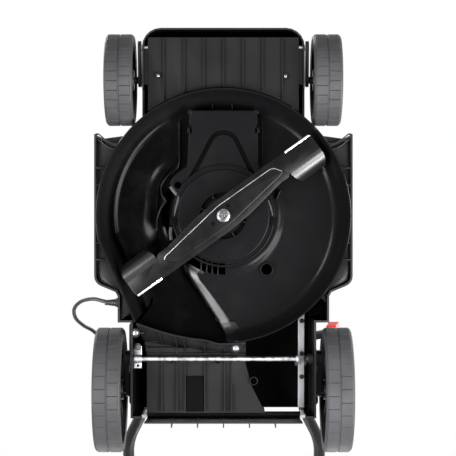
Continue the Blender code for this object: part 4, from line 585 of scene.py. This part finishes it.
DECK_RADIUS = 213
DECK_WALL = 2.4
RIM_Z = 42
SEAT_Z = 78.6
SEAT_INNER, SEAT_OUTER = 71, 84
BELL_FOOT, BELL_WIDTH = 85.5, 23.5
BELL_EDGE = BELL_FOOT + BELL_WIDTH
CEILING_LOW, CEILING_RISE = 92, 43.7
RAMP_INNER = Vector((-66, 92))
RAMP_OUTER = Vector((3.5, 203))
OUTLET_LEFT = Vector((-147, 182))
OUTLET_MIDDLE = Vector((-78, 214))
OUTLET_RIGHT = Vector((4, 212))
STRAIGHT_START = Vector((-208, 41))
SWEEP_COLUMNS = 300
SKIRT_WIDTH = 25
SKIRT_ROWS = 20

# How far past the ramp's edge and how far above its foot
RAMP_LIP = 22
RAMP_FALL = (
    (0, 13), (0.4, 9), (1.6, 6.6), (3.6, 5.2), (7, 4), (11, 2.7), (15, 1.4), (18, 0.6), (20, 0.2), (RAMP_LIP, 0),
)

RIMMED_HOLE = (74, 92)
DUCT_HOLE = (-78, -52)
VENT_ANGLES = (88, 129)


def angle_of(point):
    return math.degrees(math.atan2(point.y, point.x))


RAMP_START = angle_of(RAMP_OUTER)
OUTLET_END = angle_of(OUTLET_LEFT)


def seam_angle(radius):
    """The angle at which a ring of the deck meets the ramp's edge."""
    if radius <= RAMP_INNER.length:
        return angle_of(RAMP_INNER)
    if radius >= RAMP_OUTER.length:
        return RAMP_START
    way = RAMP_OUTER - RAMP_INNER
    near = RAMP_INNER.dot(way) / way.dot(way)
    gap = (radius**2 - (RAMP_INNER - way * near).length_squared) / way.dot(way)
    return angle_of(RAMP_INNER + way * (math.sqrt(max(gap, 0)) - near))


def ceiling(travel):
    return CEILING_LOW + CEILING_RISE * travel**1.5


def outlet_point(share):
    near = OUTLET_LEFT.lerp(OUTLET_MIDDLE, share)
    return near.lerp(OUTLET_MIDDLE.lerp(OUTLET_RIGHT, share), share)


def rim_radius(angle):
    angle = (angle + 180) % 360 - 180
    if OUTLET_END <= angle <= angle_of(STRAIGHT_START):
        way = OUTLET_LEFT - STRAIGHT_START
        ray = Vector(polar(1, angle))
        return STRAIGHT_START.cross(way) / ray.cross(way)
    if RAMP_START < angle < OUTLET_END:
        return outlet_point((OUTLET_END - angle) / (OUTLET_END - RAMP_START)).length
    return DECK_RADIUS


def deck_profile(travel, open_side):
    """Radius and height from the motor's seat, up the bell wall, over the ceiling and down the skirt."""
    top = ceiling(travel)
    edge = rim_radius(RAMP_START - 360 * travel)
    reach = edge - SKIRT_WIDTH
    flat_end = reach - 8
    points = [(SEAT_INNER, SEAT_Z), (SEAT_OUTER, SEAT_Z)]
    for i in range(1, 14):
        turned = math.pi / 2 * i / 13
        points.append((BELL_FOOT + BELL_WIDTH * (1 - math.cos(turned)), SEAT_Z + (top - SEAT_Z) * math.sin(turned)))
    for i in range(1, 9):
        points.append((BELL_EDGE + (flat_end - BELL_EDGE) * i / 8, top))
    if open_side:
        return points + [(flat_end + 36 * i / 19, top - 1.5 * i / 19) for i in range(1, 20)]
    start, corner = Vector((flat_end, top)), Vector((reach + 13, top))
    end = Vector((edge - 4, RIM_Z + 0.35 * (top - RIM_Z)))
    for i in range(1, 13):
        share = i / 12
        points.append(start.lerp(corner, share).lerp(corner.lerp(end, share), share)[:])
    for i in range(1, 5):
        points.append(end.lerp(Vector((edge - 1.2, RIM_Z + 3)), i / 4)[:])
    return points + [(edge - 0.5, RIM_Z + 1.4), (edge + 0.4, RIM_Z + 0.3), (edge + 1.6, RIM_Z)]


def deck_spot(row, travel, open_side, shift):
    radius, z = deck_profile(travel, open_side)[row]
    lean = seam_angle(radius) - RAMP_START
    angle = RAMP_START + lean * (2 * travel - 1) ** 2 - 360 * travel - math.degrees(shift / radius)
    return Vector((*polar(radius, angle), z))


def deck_cover():
    """The smooth underside of the scroll: one sheet that winds once round and closes along the ramp."""
    rows = len(deck_profile(0, False)) - 1
    ramp = [(0, 0.3), (0, 0.6)] + [(shift, 1 - above / CEILING_RISE) for shift, above in RAMP_FALL]
    columns = SWEEP_COLUMNS + len(ramp)
    outlet_from = 1 - (OUTLET_END - RAMP_START) / 360
    bm = bmesh.new()
    bmesh.ops.create_grid(bm, x_segments=columns, y_segments=rows, size=1)
    place = {}
    for vert in bm.verts:
        column = round((vert.co.x + 1) / 2 * columns)
        row = round((vert.co.y + 1) / 2 * rows)
        place[vert] = column, row
        if column <= SWEEP_COLUMNS:
            travel = column / SWEEP_COLUMNS
            shift = RAMP_LIP * max(0, 1 - travel / 0.08)
            vert.co = deck_spot(row, travel, travel >= outlet_from, shift)
        else:
            shift, share = ramp[column - SWEEP_COLUMNS - 1]
            high = deck_spot(row, 1, True, 0)
            low = deck_spot(row, 0, False, shift)
            vert.co = high.lerp(low, share)
            vert.co.xy = low.xy.lerp(high.xy, 1 - share) if row > rows - SKIRT_ROWS else low.xy
    corner = math.floor(outlet_from * SWEEP_COLUMNS)
    gone = []
    for face in bm.faces:
        spots = [place[v] for v in face.verts]
        in_skirt = min(row for _, row in spots) >= rows - SKIRT_ROWS
        if in_skirt and {corner, corner + 1} <= {column for column, _ in spots}:
            gone.append(face)
    bmesh.ops.delete(bm, geom=gone, context="FACES")
    bmesh.ops.remove_doubles(bm, verts=bm.verts, dist=0.02)
    return thicken(bm, DECK_WALL)


def on_ramp_lip(face):
    along = (RAMP_OUTER - RAMP_INNER).normalized()
    spot = (TO_DRAWING @ face.center).xy - RAMP_INNER
    past_edge = spot.x * along.y - spot.y * along.x
    return -2 < spot.dot(along) < 134 and -2 < past_edge < 24 and -0.995 < face.normal.z < -0.5


def make_deck():
    deck = drop(deck_cover(), "deck_cover", "chassis", "deck_black", ("deck",), 40)
    carve(
        deck,
        block(-92, -80, 3, 17, 70, 110, 0),
        block(80, 92, 3, 17, 70, 110, 0),
        rod(*RIMMED_HOLE, 9, 80, 110, 32),
        rod(*DUCT_HOLE, 6, 80, 125),
        slab(arc(81, *VENT_ANGLES, 16) + arc(101, *VENT_ANGLES[::-1], 16), 70, 140),
    )
    # Painted highlight: the ramp's lip wears a lighter, shinier black than the rest of the deck.
    coat(deck, "painted_highlight_black", on_ramp_lip)
    drop(ring(9, 12.4, 0, 6, 1.6, (*RIMMED_HOLE, 89.6)), "deck_hole_rim", "chassis", "deck_black")
    fins = []
    for x in (-38, -28.5, -19, -9.5):
        fins.append(block(x - 0.9, x + 0.9, math.sqrt(80**2 - x * x), math.sqrt(102**2 - x * x), 79.5, 104, 0.5))
    fins.append(slab(band(arc(80.6, *VENT_ANGLES, 12), 1.6), 77.6, 84, 0.4))
    drop(gather(*fins), "cooling_vent_fins", "chassis", "deck_black")
    feet = ((150, 60, 97), (150, -60, 101), (-120, -90, 118), (40, -165, 107))
    drop(gather(*[rod(x, y, 7, low, 138.6) for x, y, low in feet]), "deck_posts", "chassis", "deck_black")


def shoulder(points, reach, fall):
    """A skin that leaves the edge of the channel and curves into the ceiling of the deck."""
    path = curve_through(points, 4)
    last = len(path) - 1
    bm = bmesh.new()
    bmesh.ops.create_grid(bm, x_segments=last, y_segments=10, size=1)
    for vert in bm.verts:
        step = round((vert.co.x + 1) / 2 * last)
        share = (vert.co.y + 1) / 2
        spot = path[step]
        place = spot + spot.normalized() * reach * share
        top = ceiling(((RAMP_START - angle_of(spot)) % 360) / 360) - 0.3
        fade = min(1, step / 8, (last - step) / 8)
        vert.co = (place.x, place.y, top - fall * fade * (1 - share) ** 2)
    return thicken(bm, 1.6)


def make_channel_walls():
    """Thin standing walls of the moulding round the motor, beside the cable duct."""
    flank = [
        (-77, -96), (-90, -84), (-103, -68), (-111, -50), (-113, -30), (-114, -10), (-116.5, 8), (-117, 28), (-111, 50),
    ]
    drop(shoulder(flank, 27, 11), "bell_shoulder", "chassis", "deck_black", (), 60)
    left = [
        (-76, -163), (-76, -120), (-76, -92), (-81, -79), (-94, -70), (-104, -57), (-107.5, -46), (-104.5, -33),
        (-98, -25),
    ]
    walls = [
        wall(left, 2.2, 92, 112, 0.8),
        wall([(-98, -25), (-105, -17), (-111, -5), (-114.5, 8), (-115, 26)], 2.6, 96, 118, 1),
        wall([(98.5, -45), (94, -36), (90.5, -28)], 2.4, 88, 104, 0.8),
        block(65.5, 67.5, -172, -84, 94, 108, 0.6),
        block(-20, -18, -195, -183, 98, 108, 0.5),
        block(14, 16, -195, -183, 98, 108, 0.5),
    ]
    drop(gather(*walls), "channel_walls", "chassis", "deck_black")


# Motor plate and cable duct


def make_motor_plate():
    outer = eased_profile([(39.5, 75), (77.6, 75), (79, 76.2), (79, 78.2), (39.5, 78.2)], 0.9)
    parts = [turn(outer, steps=128, closed=True), ring(9, 31.5, 75, 80, 1.2, steps=96)]
    for i in range(8):
        parts.append(swivel(block(30.8, 40.2, -1.5, 1.5, 75.2, 79.6, 0.6), math.radians(17 + 45 * i)))
    for x, y, radius in ((-2, 71, 6.2), (-20, 58, 5.4), (-66, 14, 5.4), (-33, -58, 4.6), (31, -61, 4.6), (45, 56, 5)):
        parts.append(ring(radius - 1, radius, 74.4, 75.4, 0.4, (x, y, 0), 32))
    drop(gather(*parts), "motor_plate", "chassis", "deck_black", ("motor_base",))
    # Painted shade: near-black pieces behind the seat's groove and in its notches.
    dark = gather(
        turn([(27, 80.8), (43, 80.8), (43, 81.6), (27, 81.6)], closed=True),
        block(-91.5, -80.5, 3.5, 16.5, 76.6, 78, 0.3),
        block(80.5, 91.5, 3.5, 16.5, 76.6, 78, 0.3),
    )
    drop(dark, "motor_seat_painted_shade", "chassis", "painted_shade_black")
    lip = eased_profile([(84.5, 77.2), (87, 77.2), (88.5, 79.4), (84.5, 79.4)], 0.7)
    drop(turn(lip, steps=128, closed=True), "motor_seat_lip", "chassis", "deck_black")


def in_groove(face):
    return face.normal.z < -0.9 and 84 < (TO_DRAWING @ face.center).z < 85


def make_duct():
    outline = rounded([(-58, -180), (58, -180), (60, -92), (66, -60), (0, -70), (-66, -56), (-62, -92)], 5)
    panel = drop(slab(outline, 79.6, 106, 1.8, segments=3), "duct_panel", "chassis", "deck_black", ("duct_cover",))
    groove = [
        (-58, -60), (-38, -97), (-22, -128), (-13, -138.5), (0, -142), (13, -138.5), (22, -128), (37, -97), (54, -64),
    ]
    carve(
        panel,
        wall(groove, 8, 74, 84.5, 0, steps=6),
        block(-67, -54, -155.5, -141, 70, 92, 0.8),
        block(54, 67, -155.5, -141, 70, 92, 0.8),
    )
    # Painted shade on the floor of the duct panel's groove.
    coat(panel, "painted_shade_black", in_groove)
    clips = [
        block(-61.5, -57.5, -150, -141.5, 79.4, 96, 0.8),
        block(57.5, 61.5, -150, -141.5, 79.4, 96, 0.8),
        block(-60.5, -54, -181, -174, 78.8, 90, 1),
        block(54, 60.5, -181, -174, 78.8, 90, 1),
    ]
    drop(gather(*clips), "duct_clips", "chassis", "deck_black")
    lobe = rounded([(-62, -86), (-84, -69), (-92, -57), (-91, -48), (-77, -34), (-60, -40)], 6)
    boss = drop(slab(lobe, 80.4, 108, 2.2, segments=3), "duct_boss", "chassis", "deck_black")
    carve(boss, rod(*DUCT_HOLE, 6, 70, 130, 32))
    drop(ring(6, 8.6, 79.6, 82, 0.8, (*DUCT_HOLE, 0), 32), "duct_boss_rim", "chassis", "deck_black")
    upper = [(-91, -50), (-84.5, -41.5), (-78.5, -34), (-77.5, -28), (-79, -21), (-83, -10), (-86, 1)]
    walls = [
        wall(upper, 6, 78.2, 100, 2.4, 5, 4),
        wall([(-89.5, 19), (-90.5, 30), (-89, 42)], 6, 78.2, 100, 2.4, 5, 4),
        wall([(76, -27), (81, -14), (85.5, 1)], 4, 78.2, 96, 1.6, 5, 4),
    ]
    # Painted highlight: these walls wear a much lighter black, standing in for the light on their rounded tops.
    drop(gather(*walls), "motor_seat_walls", "chassis", "painted_highlight_wall")


# Blade

BLADE_SLOPE = math.atan2(-0.5829, 0.8126)
PIN_HOLES = ((16, -9.5), (-22, 1))
SAIL_START, SAIL_LENGTH, SAIL_STEPS = 134, 65, 6
SAIL_RISE = [
    (2, 52.3), (7, 52.4), (11, 53), (15, 54.5), (18.8, 56.8), (22.4, 59.8), (25.6, 63.4), (28.2, 67.4), (29.8, 70.4),
]


def both_ends(points):
    return [(x, -y) for x, y in points] + [(-x, y) for x, y in points]


def blade_bores():
    pins = [swivel(rod(x, y, 3.7, 40, 60), BLADE_SLOPE) for x, y in PIN_HOLES]
    return pins + [rod(0, 0, 5.4, 40, 60, 32)]


def on_upper_left(face):
    return -0.94 < face.normal.z < -0.2 and face.normal.x + face.normal.y < -0.1


def ground_edge():
    strip = slab([(146, -24.4), (197, -24.4), (195.5, -27.6), (146, -27.6)], 50.9, 52.3, 0.4)
    for vert in strip.verts:
        if vert.co.y < -26:
            vert.co.z = 51.9 + (vert.co.z - 51.9) * 0.35
    return strip


def sail():
    """The upturned rear edge of one end of the blade."""
    bm = bmesh.new()
    line = [bm.verts.new((SAIL_START, y, z)) for y, z in SAIL_RISE]
    wires = [bm.edges.new(pair) for pair in zip(line, line[1:])]
    for _ in range(SAIL_STEPS):
        grown = bmesh.ops.extrude_edge_only(bm, edges=wires)["geom"]
        moved = [v for v in grown if isinstance(v, bmesh.types.BMVert)]
        wires = [e for e in grown if isinstance(e, bmesh.types.BMEdge) and all(v in moved for v in e.verts)]
        bmesh.ops.translate(bm, vec=(SAIL_LENGTH / SAIL_STEPS, 0, 0), verts=moved)
    for vert in bm.verts:
        high = max(0, (vert.co.z - 53) / 17)
        share = (vert.co.x - SAIL_START) / SAIL_LENGTH
        vert.co.x += (1 - share) * high * 11 - share * high * 8
    bmesh.ops.recalc_face_normals(bm, faces=bm.faces)
    bmesh.ops.solidify(bm, geom=bm.faces[:], thickness=1.9)
    return bm


def make_blade():
    half = [
        (0, 27.5), (112, 27.5), (144, 27), (196, 27), (199, 20), (199, -5), (134, -5), (129, -12), (112, -11.5),
        (40, -24),
    ]
    sheet = swivel(slab(rounded(both_ends(half), 4), 51.4, 53.2, 0.5, both=True), BLADE_SLOPE)
    raised = rounded(both_ends([(0, 19.4), (115, 18.4), (126, 2), (121, -2)]), 8, 6)
    pad = swivel(slab(raised, 49.6, 52.6, 2.4, segments=4), BLADE_SLOPE)
    bar = drop(sheet, "blade_bar", "cutter", "black_paint", ("blade",))
    pad = drop(pad, "blade_pad", "cutter", "black_paint")
    carve(pad, *blade_bores())
    # Bare worn steel on the pad's sloped faces that turn to the upper left only: partly wear, partly painted highlight
    # where the light falls.
    coat(pad, "worn_edge_and_painted_highlight", on_upper_left)
    carve(bar, *blade_bores())
    # Painted shade: near-black discs inside the blade's pin holes.
    shades = [swivel(rod(x, y, 3.6, 50.4, 51.2), BLADE_SLOPE) for x, y in PIN_HOLES]
    drop(gather(*shades), "blade_hole_shades", "cutter", "painted_shade_black")
    for shape, name, finish in (ground_edge, "blade_ground_edges", "ground_edge"), (sail, "blade_sails", "sail_black"):
        pair = [swivel(shape(), BLADE_SLOPE), swivel(swivel(shape(), math.pi), BLADE_SLOPE)]
        drop(gather(*pair), name, "cutter", finish)
    flange = turn(eased_profile([(0, 46.6), (8.6, 46.6), (11.4, 48.4), (11.4, 49.4), (0, 49.4)], 0.6), steps=48)
    drop(flange, "blade_screw_flange", "cutter", "screw_zinc")
    head = slab(hexagon(8.6, 20), 40.6, 48, 1.1, segments=3)
    screw = drop(head, "blade_screw", "cutter", "dull_zinc", ("blade_bolt",))
    carve(screw, turn([(0, 38), (5, 38), (4.4, 41.6), (0, 42)], steps=40))
    drop(ring(2, 3, 41.2, 42.2, 0.3, steps=32), "blade_screw_centre", "cutter", "screw_zinc")


# Wheels

TREAD_BLOCKS = 30
TREAD_DEPTH = 1.2
SPOKES = 10


def wheel_turn(bm, side, inner, y, radius):
    """Stands a wheel drawn along its own axis up beside the mower, its outer face away from the middle."""
    swivel(bm, side * math.pi / 2, "Y")
    bmesh.ops.translate(bm, vec=(side * inner, y, radius), verts=bm.verts)
    return bm


def tyre(radius):
    """A moulded tyre with two rows of thin-grooved tread blocks, set off by half a block."""
    floor = radius - 1.3
    profile = [
        (radius - 13, 3), (radius - 8, 0.8), (radius - 4.5, 1.2), (floor - 0.5, 3.2), (floor, 4.6), (floor, 24),
        (floor, 26), (floor, 45.4), (floor - 0.5, 46.8), (radius - 4.5, 48.8), (radius - 8, 49.2), (radius - 13, 47),
    ]
    columns = TREAD_BLOCKS * 4
    bm = turn(profile, steps=columns, closed=True)
    rows = {}
    for face in bm.faces:
        spot = face.calc_center_median()
        if math.hypot(spot.x, spot.y) < floor - 0.4:
            continue
        column = int((angle_of(spot) % 360) / (90 / TREAD_BLOCKS))
        if 4.6 < spot.z < 24:
            rows.setdefault(("in", column // 4), []).append(face)
        if 26 < spot.z < 45.4:
            rows.setdefault(("out", (column + 2) % columns // 4), []).append(face)
    for faces in rows.values():
        bmesh.ops.inset_region(
            bm, faces=faces, thickness=0.75, depth=TREAD_DEPTH, use_boundary=True, use_even_offset=True,
        )
    return bm


def make_wheel(name, radius, inner, side, y):
    stand = (side, inner, y, radius)
    drop(wheel_turn(tyre(radius), *stand), f"{name}_tyre", name, "tyre_grey", (), 24)
    rim = [
        (6.8, 2), (17, 2), (19, 27), (radius - 15, 27), (radius - 14, 2.2), (radius - 11.6, 2.2), (radius - 11.6, 47.8),
        (radius - 14.4, 47.8), (radius - 17, 32), (22, 32), (18, 45.4), (6.8, 45.4),
    ]
    parts = [turn(eased_profile(rim, 1.6), steps=72, closed=True)]
    for i in range(SPOKES):
        spoke = block(20, radius - 15.4, -2, 2, 30, 38, 1.2)
        for vert in spoke.verts:
            if vert.co.z > 34:
                vert.co.z += 5 * (vert.co.x - 20) / (radius - 35) - 1
        web = block(18.5, radius - 15.2, -1.4, 1.4, 8, 28, 0.8)
        parts += [swivel(part, math.radians(360 / SPOKES * i)) for part in (spoke, web)]
    drop(wheel_turn(gather(*parts), *stand), f"{name}_rim", name, "body_black", (name.replace("_", "_wheel_"),))
    cap_node = name.replace("_", "_hub_cap_")
    low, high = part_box(cap_node)
    reach = (high[2] - low[2]) / MM / 2
    back, front = sorted(abs(x) / MM - inner for x in (low[0], high[0]))
    cap = [
        (0, back), (reach - 1, back), (reach, back + 0.8), (reach, front - 1.6), (reach - 1.6, front),
        (reach - 4, front), (reach - 5.4, front - 1.1), (reach * 0.45, front - 1.1), (reach * 0.4, front - 0.2),
        (0, front),
    ]
    drop(wheel_turn(turn(cap), *stand), f"{name}_cap", name, "hood_red", (cap_node,))


def make_wheels():
    for side, word in ((1, "left"), (-1, "right")):
        make_wheel(f"front_{word}", 78, 150.2, side, -231)
        make_wheel(f"rear_{word}", 107, 170, side, 300)


# Underside covers, rear axle and link

CLAMP_SCREW = (-147.4, 224.8)


def upright(outline, x0, x1):
    """A thin rib cut to an outline in Y and Z."""
    bm = bmesh.new()
    face = bm.faces.new([bm.verts.new((x0, y, z)) for y, z in outline])
    grown = bmesh.ops.extrude_face_region(bm, geom=[face])["geom"]
    bmesh.ops.translate(bm, vec=(x1 - x0, 0, 0), verts=[v for v in grown if isinstance(v, bmesh.types.BMVert)])
    bmesh.ops.recalc_face_normals(bm, faces=bm.faces)
    ease(bm, bm.edges, 0.4)
    return bm


def lip_y(x):
    share = min(max((x - OUTLET_LEFT.x) / (OUTLET_RIGHT.x - OUTLET_LEFT.x), 0), 1)
    return outlet_point(share).y


def ring_boss(x, y, radius, low, high, wide=1.4):
    return ring(radius - wide, radius, low, high, 0.5, (x, y, 0))


def screw_head(x, y, z, radius):
    """A pan head seen from below."""
    profile = [(0, 0), (radius * 0.6, 0.15), (radius * 0.9, 0.7), (radius, 1.6), (radius, 2.2), (0, 2.2)]
    return turn([(reach, z + rise) for reach, rise in profile], (x, y, 0), 32)


def make_covers():
    ribs = []
    for x in (-106.6, -80, -66, -32.4, 2, 14):
        y = lip_y(x)
        rib = [(y + 2.5, 48), (y + 5.5, 47.4), (y + 26, 105.4), (253, 105.4), (253, 108.6), (y + 22, 108.2)]
        ribs.append(upright(rib, x - 0.9, x + 0.9))
    ribs.append(block(-135, -79, 216, 217.6, 98, 108.6, 0.5))
    ribs.append(block(-132, 37, 227, 228.4, 100, 108.6, 0.5))
    ribs.append(block(-132, 14, 236.5, 237.7, 104.4, 108.6, 0.4))
    for boss in ((-89, 249, 5.8, 101.5, 108.6), (-10, 250, 5.8, 101.5, 108.6), (52, 285, 7.3, 104, 110.5)):
        ribs.append(ring_boss(*boss))
    drop(gather(*ribs), "chute_floor_ribs", "chassis", "panel_grey")
    # Painted shade: near-black pads in the chute floor's pocket and in its two bosses.
    dark = [
        slab(rounded([(-65, 277), (-34, 277), (-34, 338), (-65, 338)], 1.5), 107.2, 108.8, 0.3),
        rod(-89, 249, 4.5, 103.6, 108.4),
        rod(-10, 250, 4.5, 103.6, 108.4),
    ]
    drop(gather(*dark), "chute_floor_painted_shade", "chassis", "painted_shade_black")
    rims = [ring_boss(-149, 199, 7.6, 60.4, 76, 2.2), ring_boss(21, 224, 7.2, 48.4, 70, 2)]
    drop(gather(*rims), "chute_screw_rims", "chassis", "body_black")
    slot = [(-3, -0.6), (-0.6, -0.6), (-0.6, -3), (0.6, -3), (0.6, -0.6), (3, -0.6)]
    slot += [(-u, -v) for u, v in slot]
    for name, (x, y, z) in {"chute_screw_left": (-149, 199, 59.3), "chute_screw_right": (21, 224, 47.3)}.items():
        screw = drop(screw_head(x, y, z, 4.7), f"{name}_head", "chassis", "screw_zinc", (name,))
        carve(screw, slab([(x + u, y + v) for u, v in slot], z - 2, z + 0.9))
    spots = ((-110.5, -237), (105.5, -236))
    heads = [screw_head(*spot, 57.4, 2.8) for spot in spots]
    drop(gather(*heads), "front_panel_screws", "chassis", "screw_zinc")
    wells = [ring_boss(*spot, 5.6, 57, 60.4) for spot in spots]
    drop(gather(*wells), "front_panel_screw_rims", "chassis", "panel_grey")


def make_axle_details():
    head = slab(hexagon(4.6, 0, *CLAMP_SCREW), 86.6, 90.6, 0.8, segments=3)
    washer = ring(2, 6.2, 90, 91.2, 0.4, (*CLAMP_SCREW, 0))
    drop(gather(head, washer), "clamp_screw", "chassis", "cast_metal")
    pins = []
    for y in (183, 240.5, 281):
        z = 139.9 + 0.0546 * (y - 256.4)
        pin = eased_profile([(0, z - 1.2), (3.4, z - 1.2), (4.2, z - 0.5), (4.2, z + 0.6), (0, z + 0.6)], 0.3)
        pins.append(turn(pin, (136.6, y, 0), 32))
    drop(gather(*pins), "link_rivets", "link", "body_black")


# Pieces that keep the CAD form, with merged faces and rounded edges

ROUNDED_EDGES = {
    "body_shell": 0.8, "carry_handle": 0, "front_panel": 0.35, "chute_floor": 0.3, "discharge_chute": 0.3,
    "motor_hood": 0.7, "axle_clamp": 0.4, "height_link": 0.3, "height_lever": 0.6, "lever_grip": 1.2,
    "handle_bracket_left": 0.6, "handle_bracket_right": 0.6, "rear_crank_left": 0.8, "rear_crank_right": 0.8,
    "front_crank_left": 0.8, "front_crank_right": 0.8, "rear_flap": 0.5, "switch_box": 0.8, "safety_button": 0.8,
    "lower_knob_left": 1, "lower_knob_right": 1, "upper_knob_left": 1, "upper_knob_right": 1, "cord_hook": 0.5,
    "lower_handle": 0, "upper_handle": 0, "bail_lever": 0,
}
HOOD_MIDDLE = PLACE @ Vector((0, -18, 240))
SHELL_MIDDLE = PLACE @ Vector((0, 60, 150))


def inside_hood(face):
    return face.normal.dot(face.center - HOOD_MIDDLE) < 0


def inside_shell(face):
    return face.normal.z < -0.6 and face.center.z > 0.13 or face.normal.dot(face.center - SHELL_MIDDLE) < -0.02


def make_mouldings():
    made = {node: refine(node, width) for node, width in ROUNDED_EDGES.items()}
    # Painted shade on the inner faces of the hood and of the shell.
    coat(made["motor_hood"], "painted_shade_black", inside_hood)
    coat(made["body_shell"], "painted_shade_black", inside_shell)


# Floors of the side shelves, front lips and wheel guards


def rim_line(start, end, steps):
    """A line 4 mm outside the deck's rim."""
    angles = [start + (end - start) * i / steps for i in range(steps + 1)]
    return [polar(rim_radius(angle) + 4, angle) for angle in angles]


def make_shelf_floors():
    floors = []
    for side, start, end, rear in ((-1, 219, 134, 181), (1, -39, 40, 150)):
        edge = [(176.5, rear), (176.5, 142), (180, 128), (212, 112), (216.5, 98), (216.5, -130)]
        floors.append(slab(rim_line(start, end, 30) + [(side * x, y) for x, y in edge], 82, 84, 0.4))
    drop(gather(*floors), "shelf_floors", "chassis", "body_black")
    lip = [(219, -138), (213.5, -139), (207, -134), (199, -128), (191, -124), (184, -122.5), (176, -124)]
    inner = [(218, -132), (210, -127), (200, -119), (191, -114.5), (183, -113.5)]
    ribs = []
    for side in (-1, 1):
        for y in (-81, -52, -2, 47, 75):
            x0, x1 = sorted((side * math.sqrt(217**2 - y * y), side * 217.5))
            ribs.append(block(x0, x1, y - 0.8, y + 0.8, 71, 83, 0.5))
        ribs.append(wall([(side * x, y) for x, y in lip], 2.2, 70.4, 84, 0.6))
        ribs.append(wall([(side * x, y) for x, y in inner], 1.6, 74, 84, 0.5))
        ribs.append(block(*sorted((side * 207, side * 208.6)), -133, -125, 74, 84, 0.4))
    drop(gather(*ribs), "shelf_ribs", "chassis", "body_black")


def make_wheel_guards():
    left = [(-157, 184), (-168.6, 192), (-168.6, 334), (-157, 343)]
    right = [(157, 270), (168.6, 276), (168.6, 334), (157, 343)]
    guards = [slab(rounded(outline, 4), 196.5, 199.5, 0.8, both=True) for outline in (left, right)]
    drop(gather(*guards), "wheel_guards", "chassis", "body_black")


# Supply cord

CORD_WIDTH = 6.6
CORD_ROUTES = {
    "cord_to_handle": ("lead_loop", "chassis", [
        (-184, 150, 112), (-191, 150, 112), (-206, 148, 112), (-226, 144, 118), (-248, 149, 132), (-262, 163, 152),
        (-262, 181, 178), (-250, 196, 204), (-233, 209, 228), (-215, 234, 241), (-201, 257, 243.5), (-190, 274, 243),
        (-182.4, 284.7, 246.05), (-182.02, 290.64, 248.83),
    ]),
    "cord_on_lower_tube": ("lead_lower", "lower_frame", [
        (-182, 291, 249), (-181.52, 298.23, 252.37), (-181, 310.28, 263.99), (-179, 317.7, 276.13),
        (-171, 325.51, 293.26), (-157, 343.08, 324.44), (-165, 379.9, 365.3), (-184, 420.03, 409.91),
        (-185, 466.42, 462.34), (-186.5, 492.92, 492.29), (-201.3, 516.11, 518.51), (-207, 532.68, 537.23),
        (-207.3, 544.61, 550.71),
    ]),
    "cord_on_upper_tube": ("lead_upper", "upper_frame", [
        (-207.3, 544.8, 550.94), (-207.3, 625.45, 642.09), (-207.3, 744.72, 776.9), (-207, 790, 828),
        (-203.6, 823, 865.2), (-195.4, 838.5, 881.6), (-188.2, 848.5, 891.6), (-185.8, 857.2, 901.02),
    ]),
}


def lay_cord(name, node, body, route):
    path = [PLACE @ spot for spot in curve_through(route, 5)]
    curve = bpy.data.curves.new(name, "CURVE")
    curve.dimensions = "3D"
    curve.bevel_depth = CORD_WIDTH / 2 * MM
    curve.bevel_resolution = 6
    curve.use_fill_caps = True
    line = curve.splines.new("POLY")
    line.points.add(len(path) - 1)
    for point, spot in zip(line.points, path):
        point.co = (*spot, 1)
    line.use_smooth = True
    cord = bpy.data.objects.new(name, curve)
    bpy.context.scene.collection.objects.link(cord)
    curve.materials.append(FINISHES["cord_jacket"])
    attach(cord, body)
    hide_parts(node)


def make_cords():
    for name, (node, body, route) in CORD_ROUTES.items():
        lay_cord(name, node, body, route)
    profile = [(0, -181), (7.2, -181), (7.2, -184)]
    for step in range(5):
        start, radius = -185 - 3.8 * step, 6.8 - 0.5 * step
        profile += [(radius - 0.9, start), (radius - 0.9, start - 1.2)]
        profile += [(radius, start - 1.8), (radius - 0.3, start - 3.6)]
    sleeve = turn(profile + [(4, -205), (0, -205)], (0, 150, 112), 32, lengthways=True)
    drop(sleeve, "cord_sleeve", "chassis", "cord_jacket")


place_camera()
lay_floor()
light_world()
hang_lamps()
dress_nodes()
make_deck()
make_channel_walls()
make_motor_plate()
make_duct()
make_blade()
make_wheels()
make_covers()
make_axle_details()
make_mouldings()
make_shelf_floors()
make_wheel_guards()
make_cords()
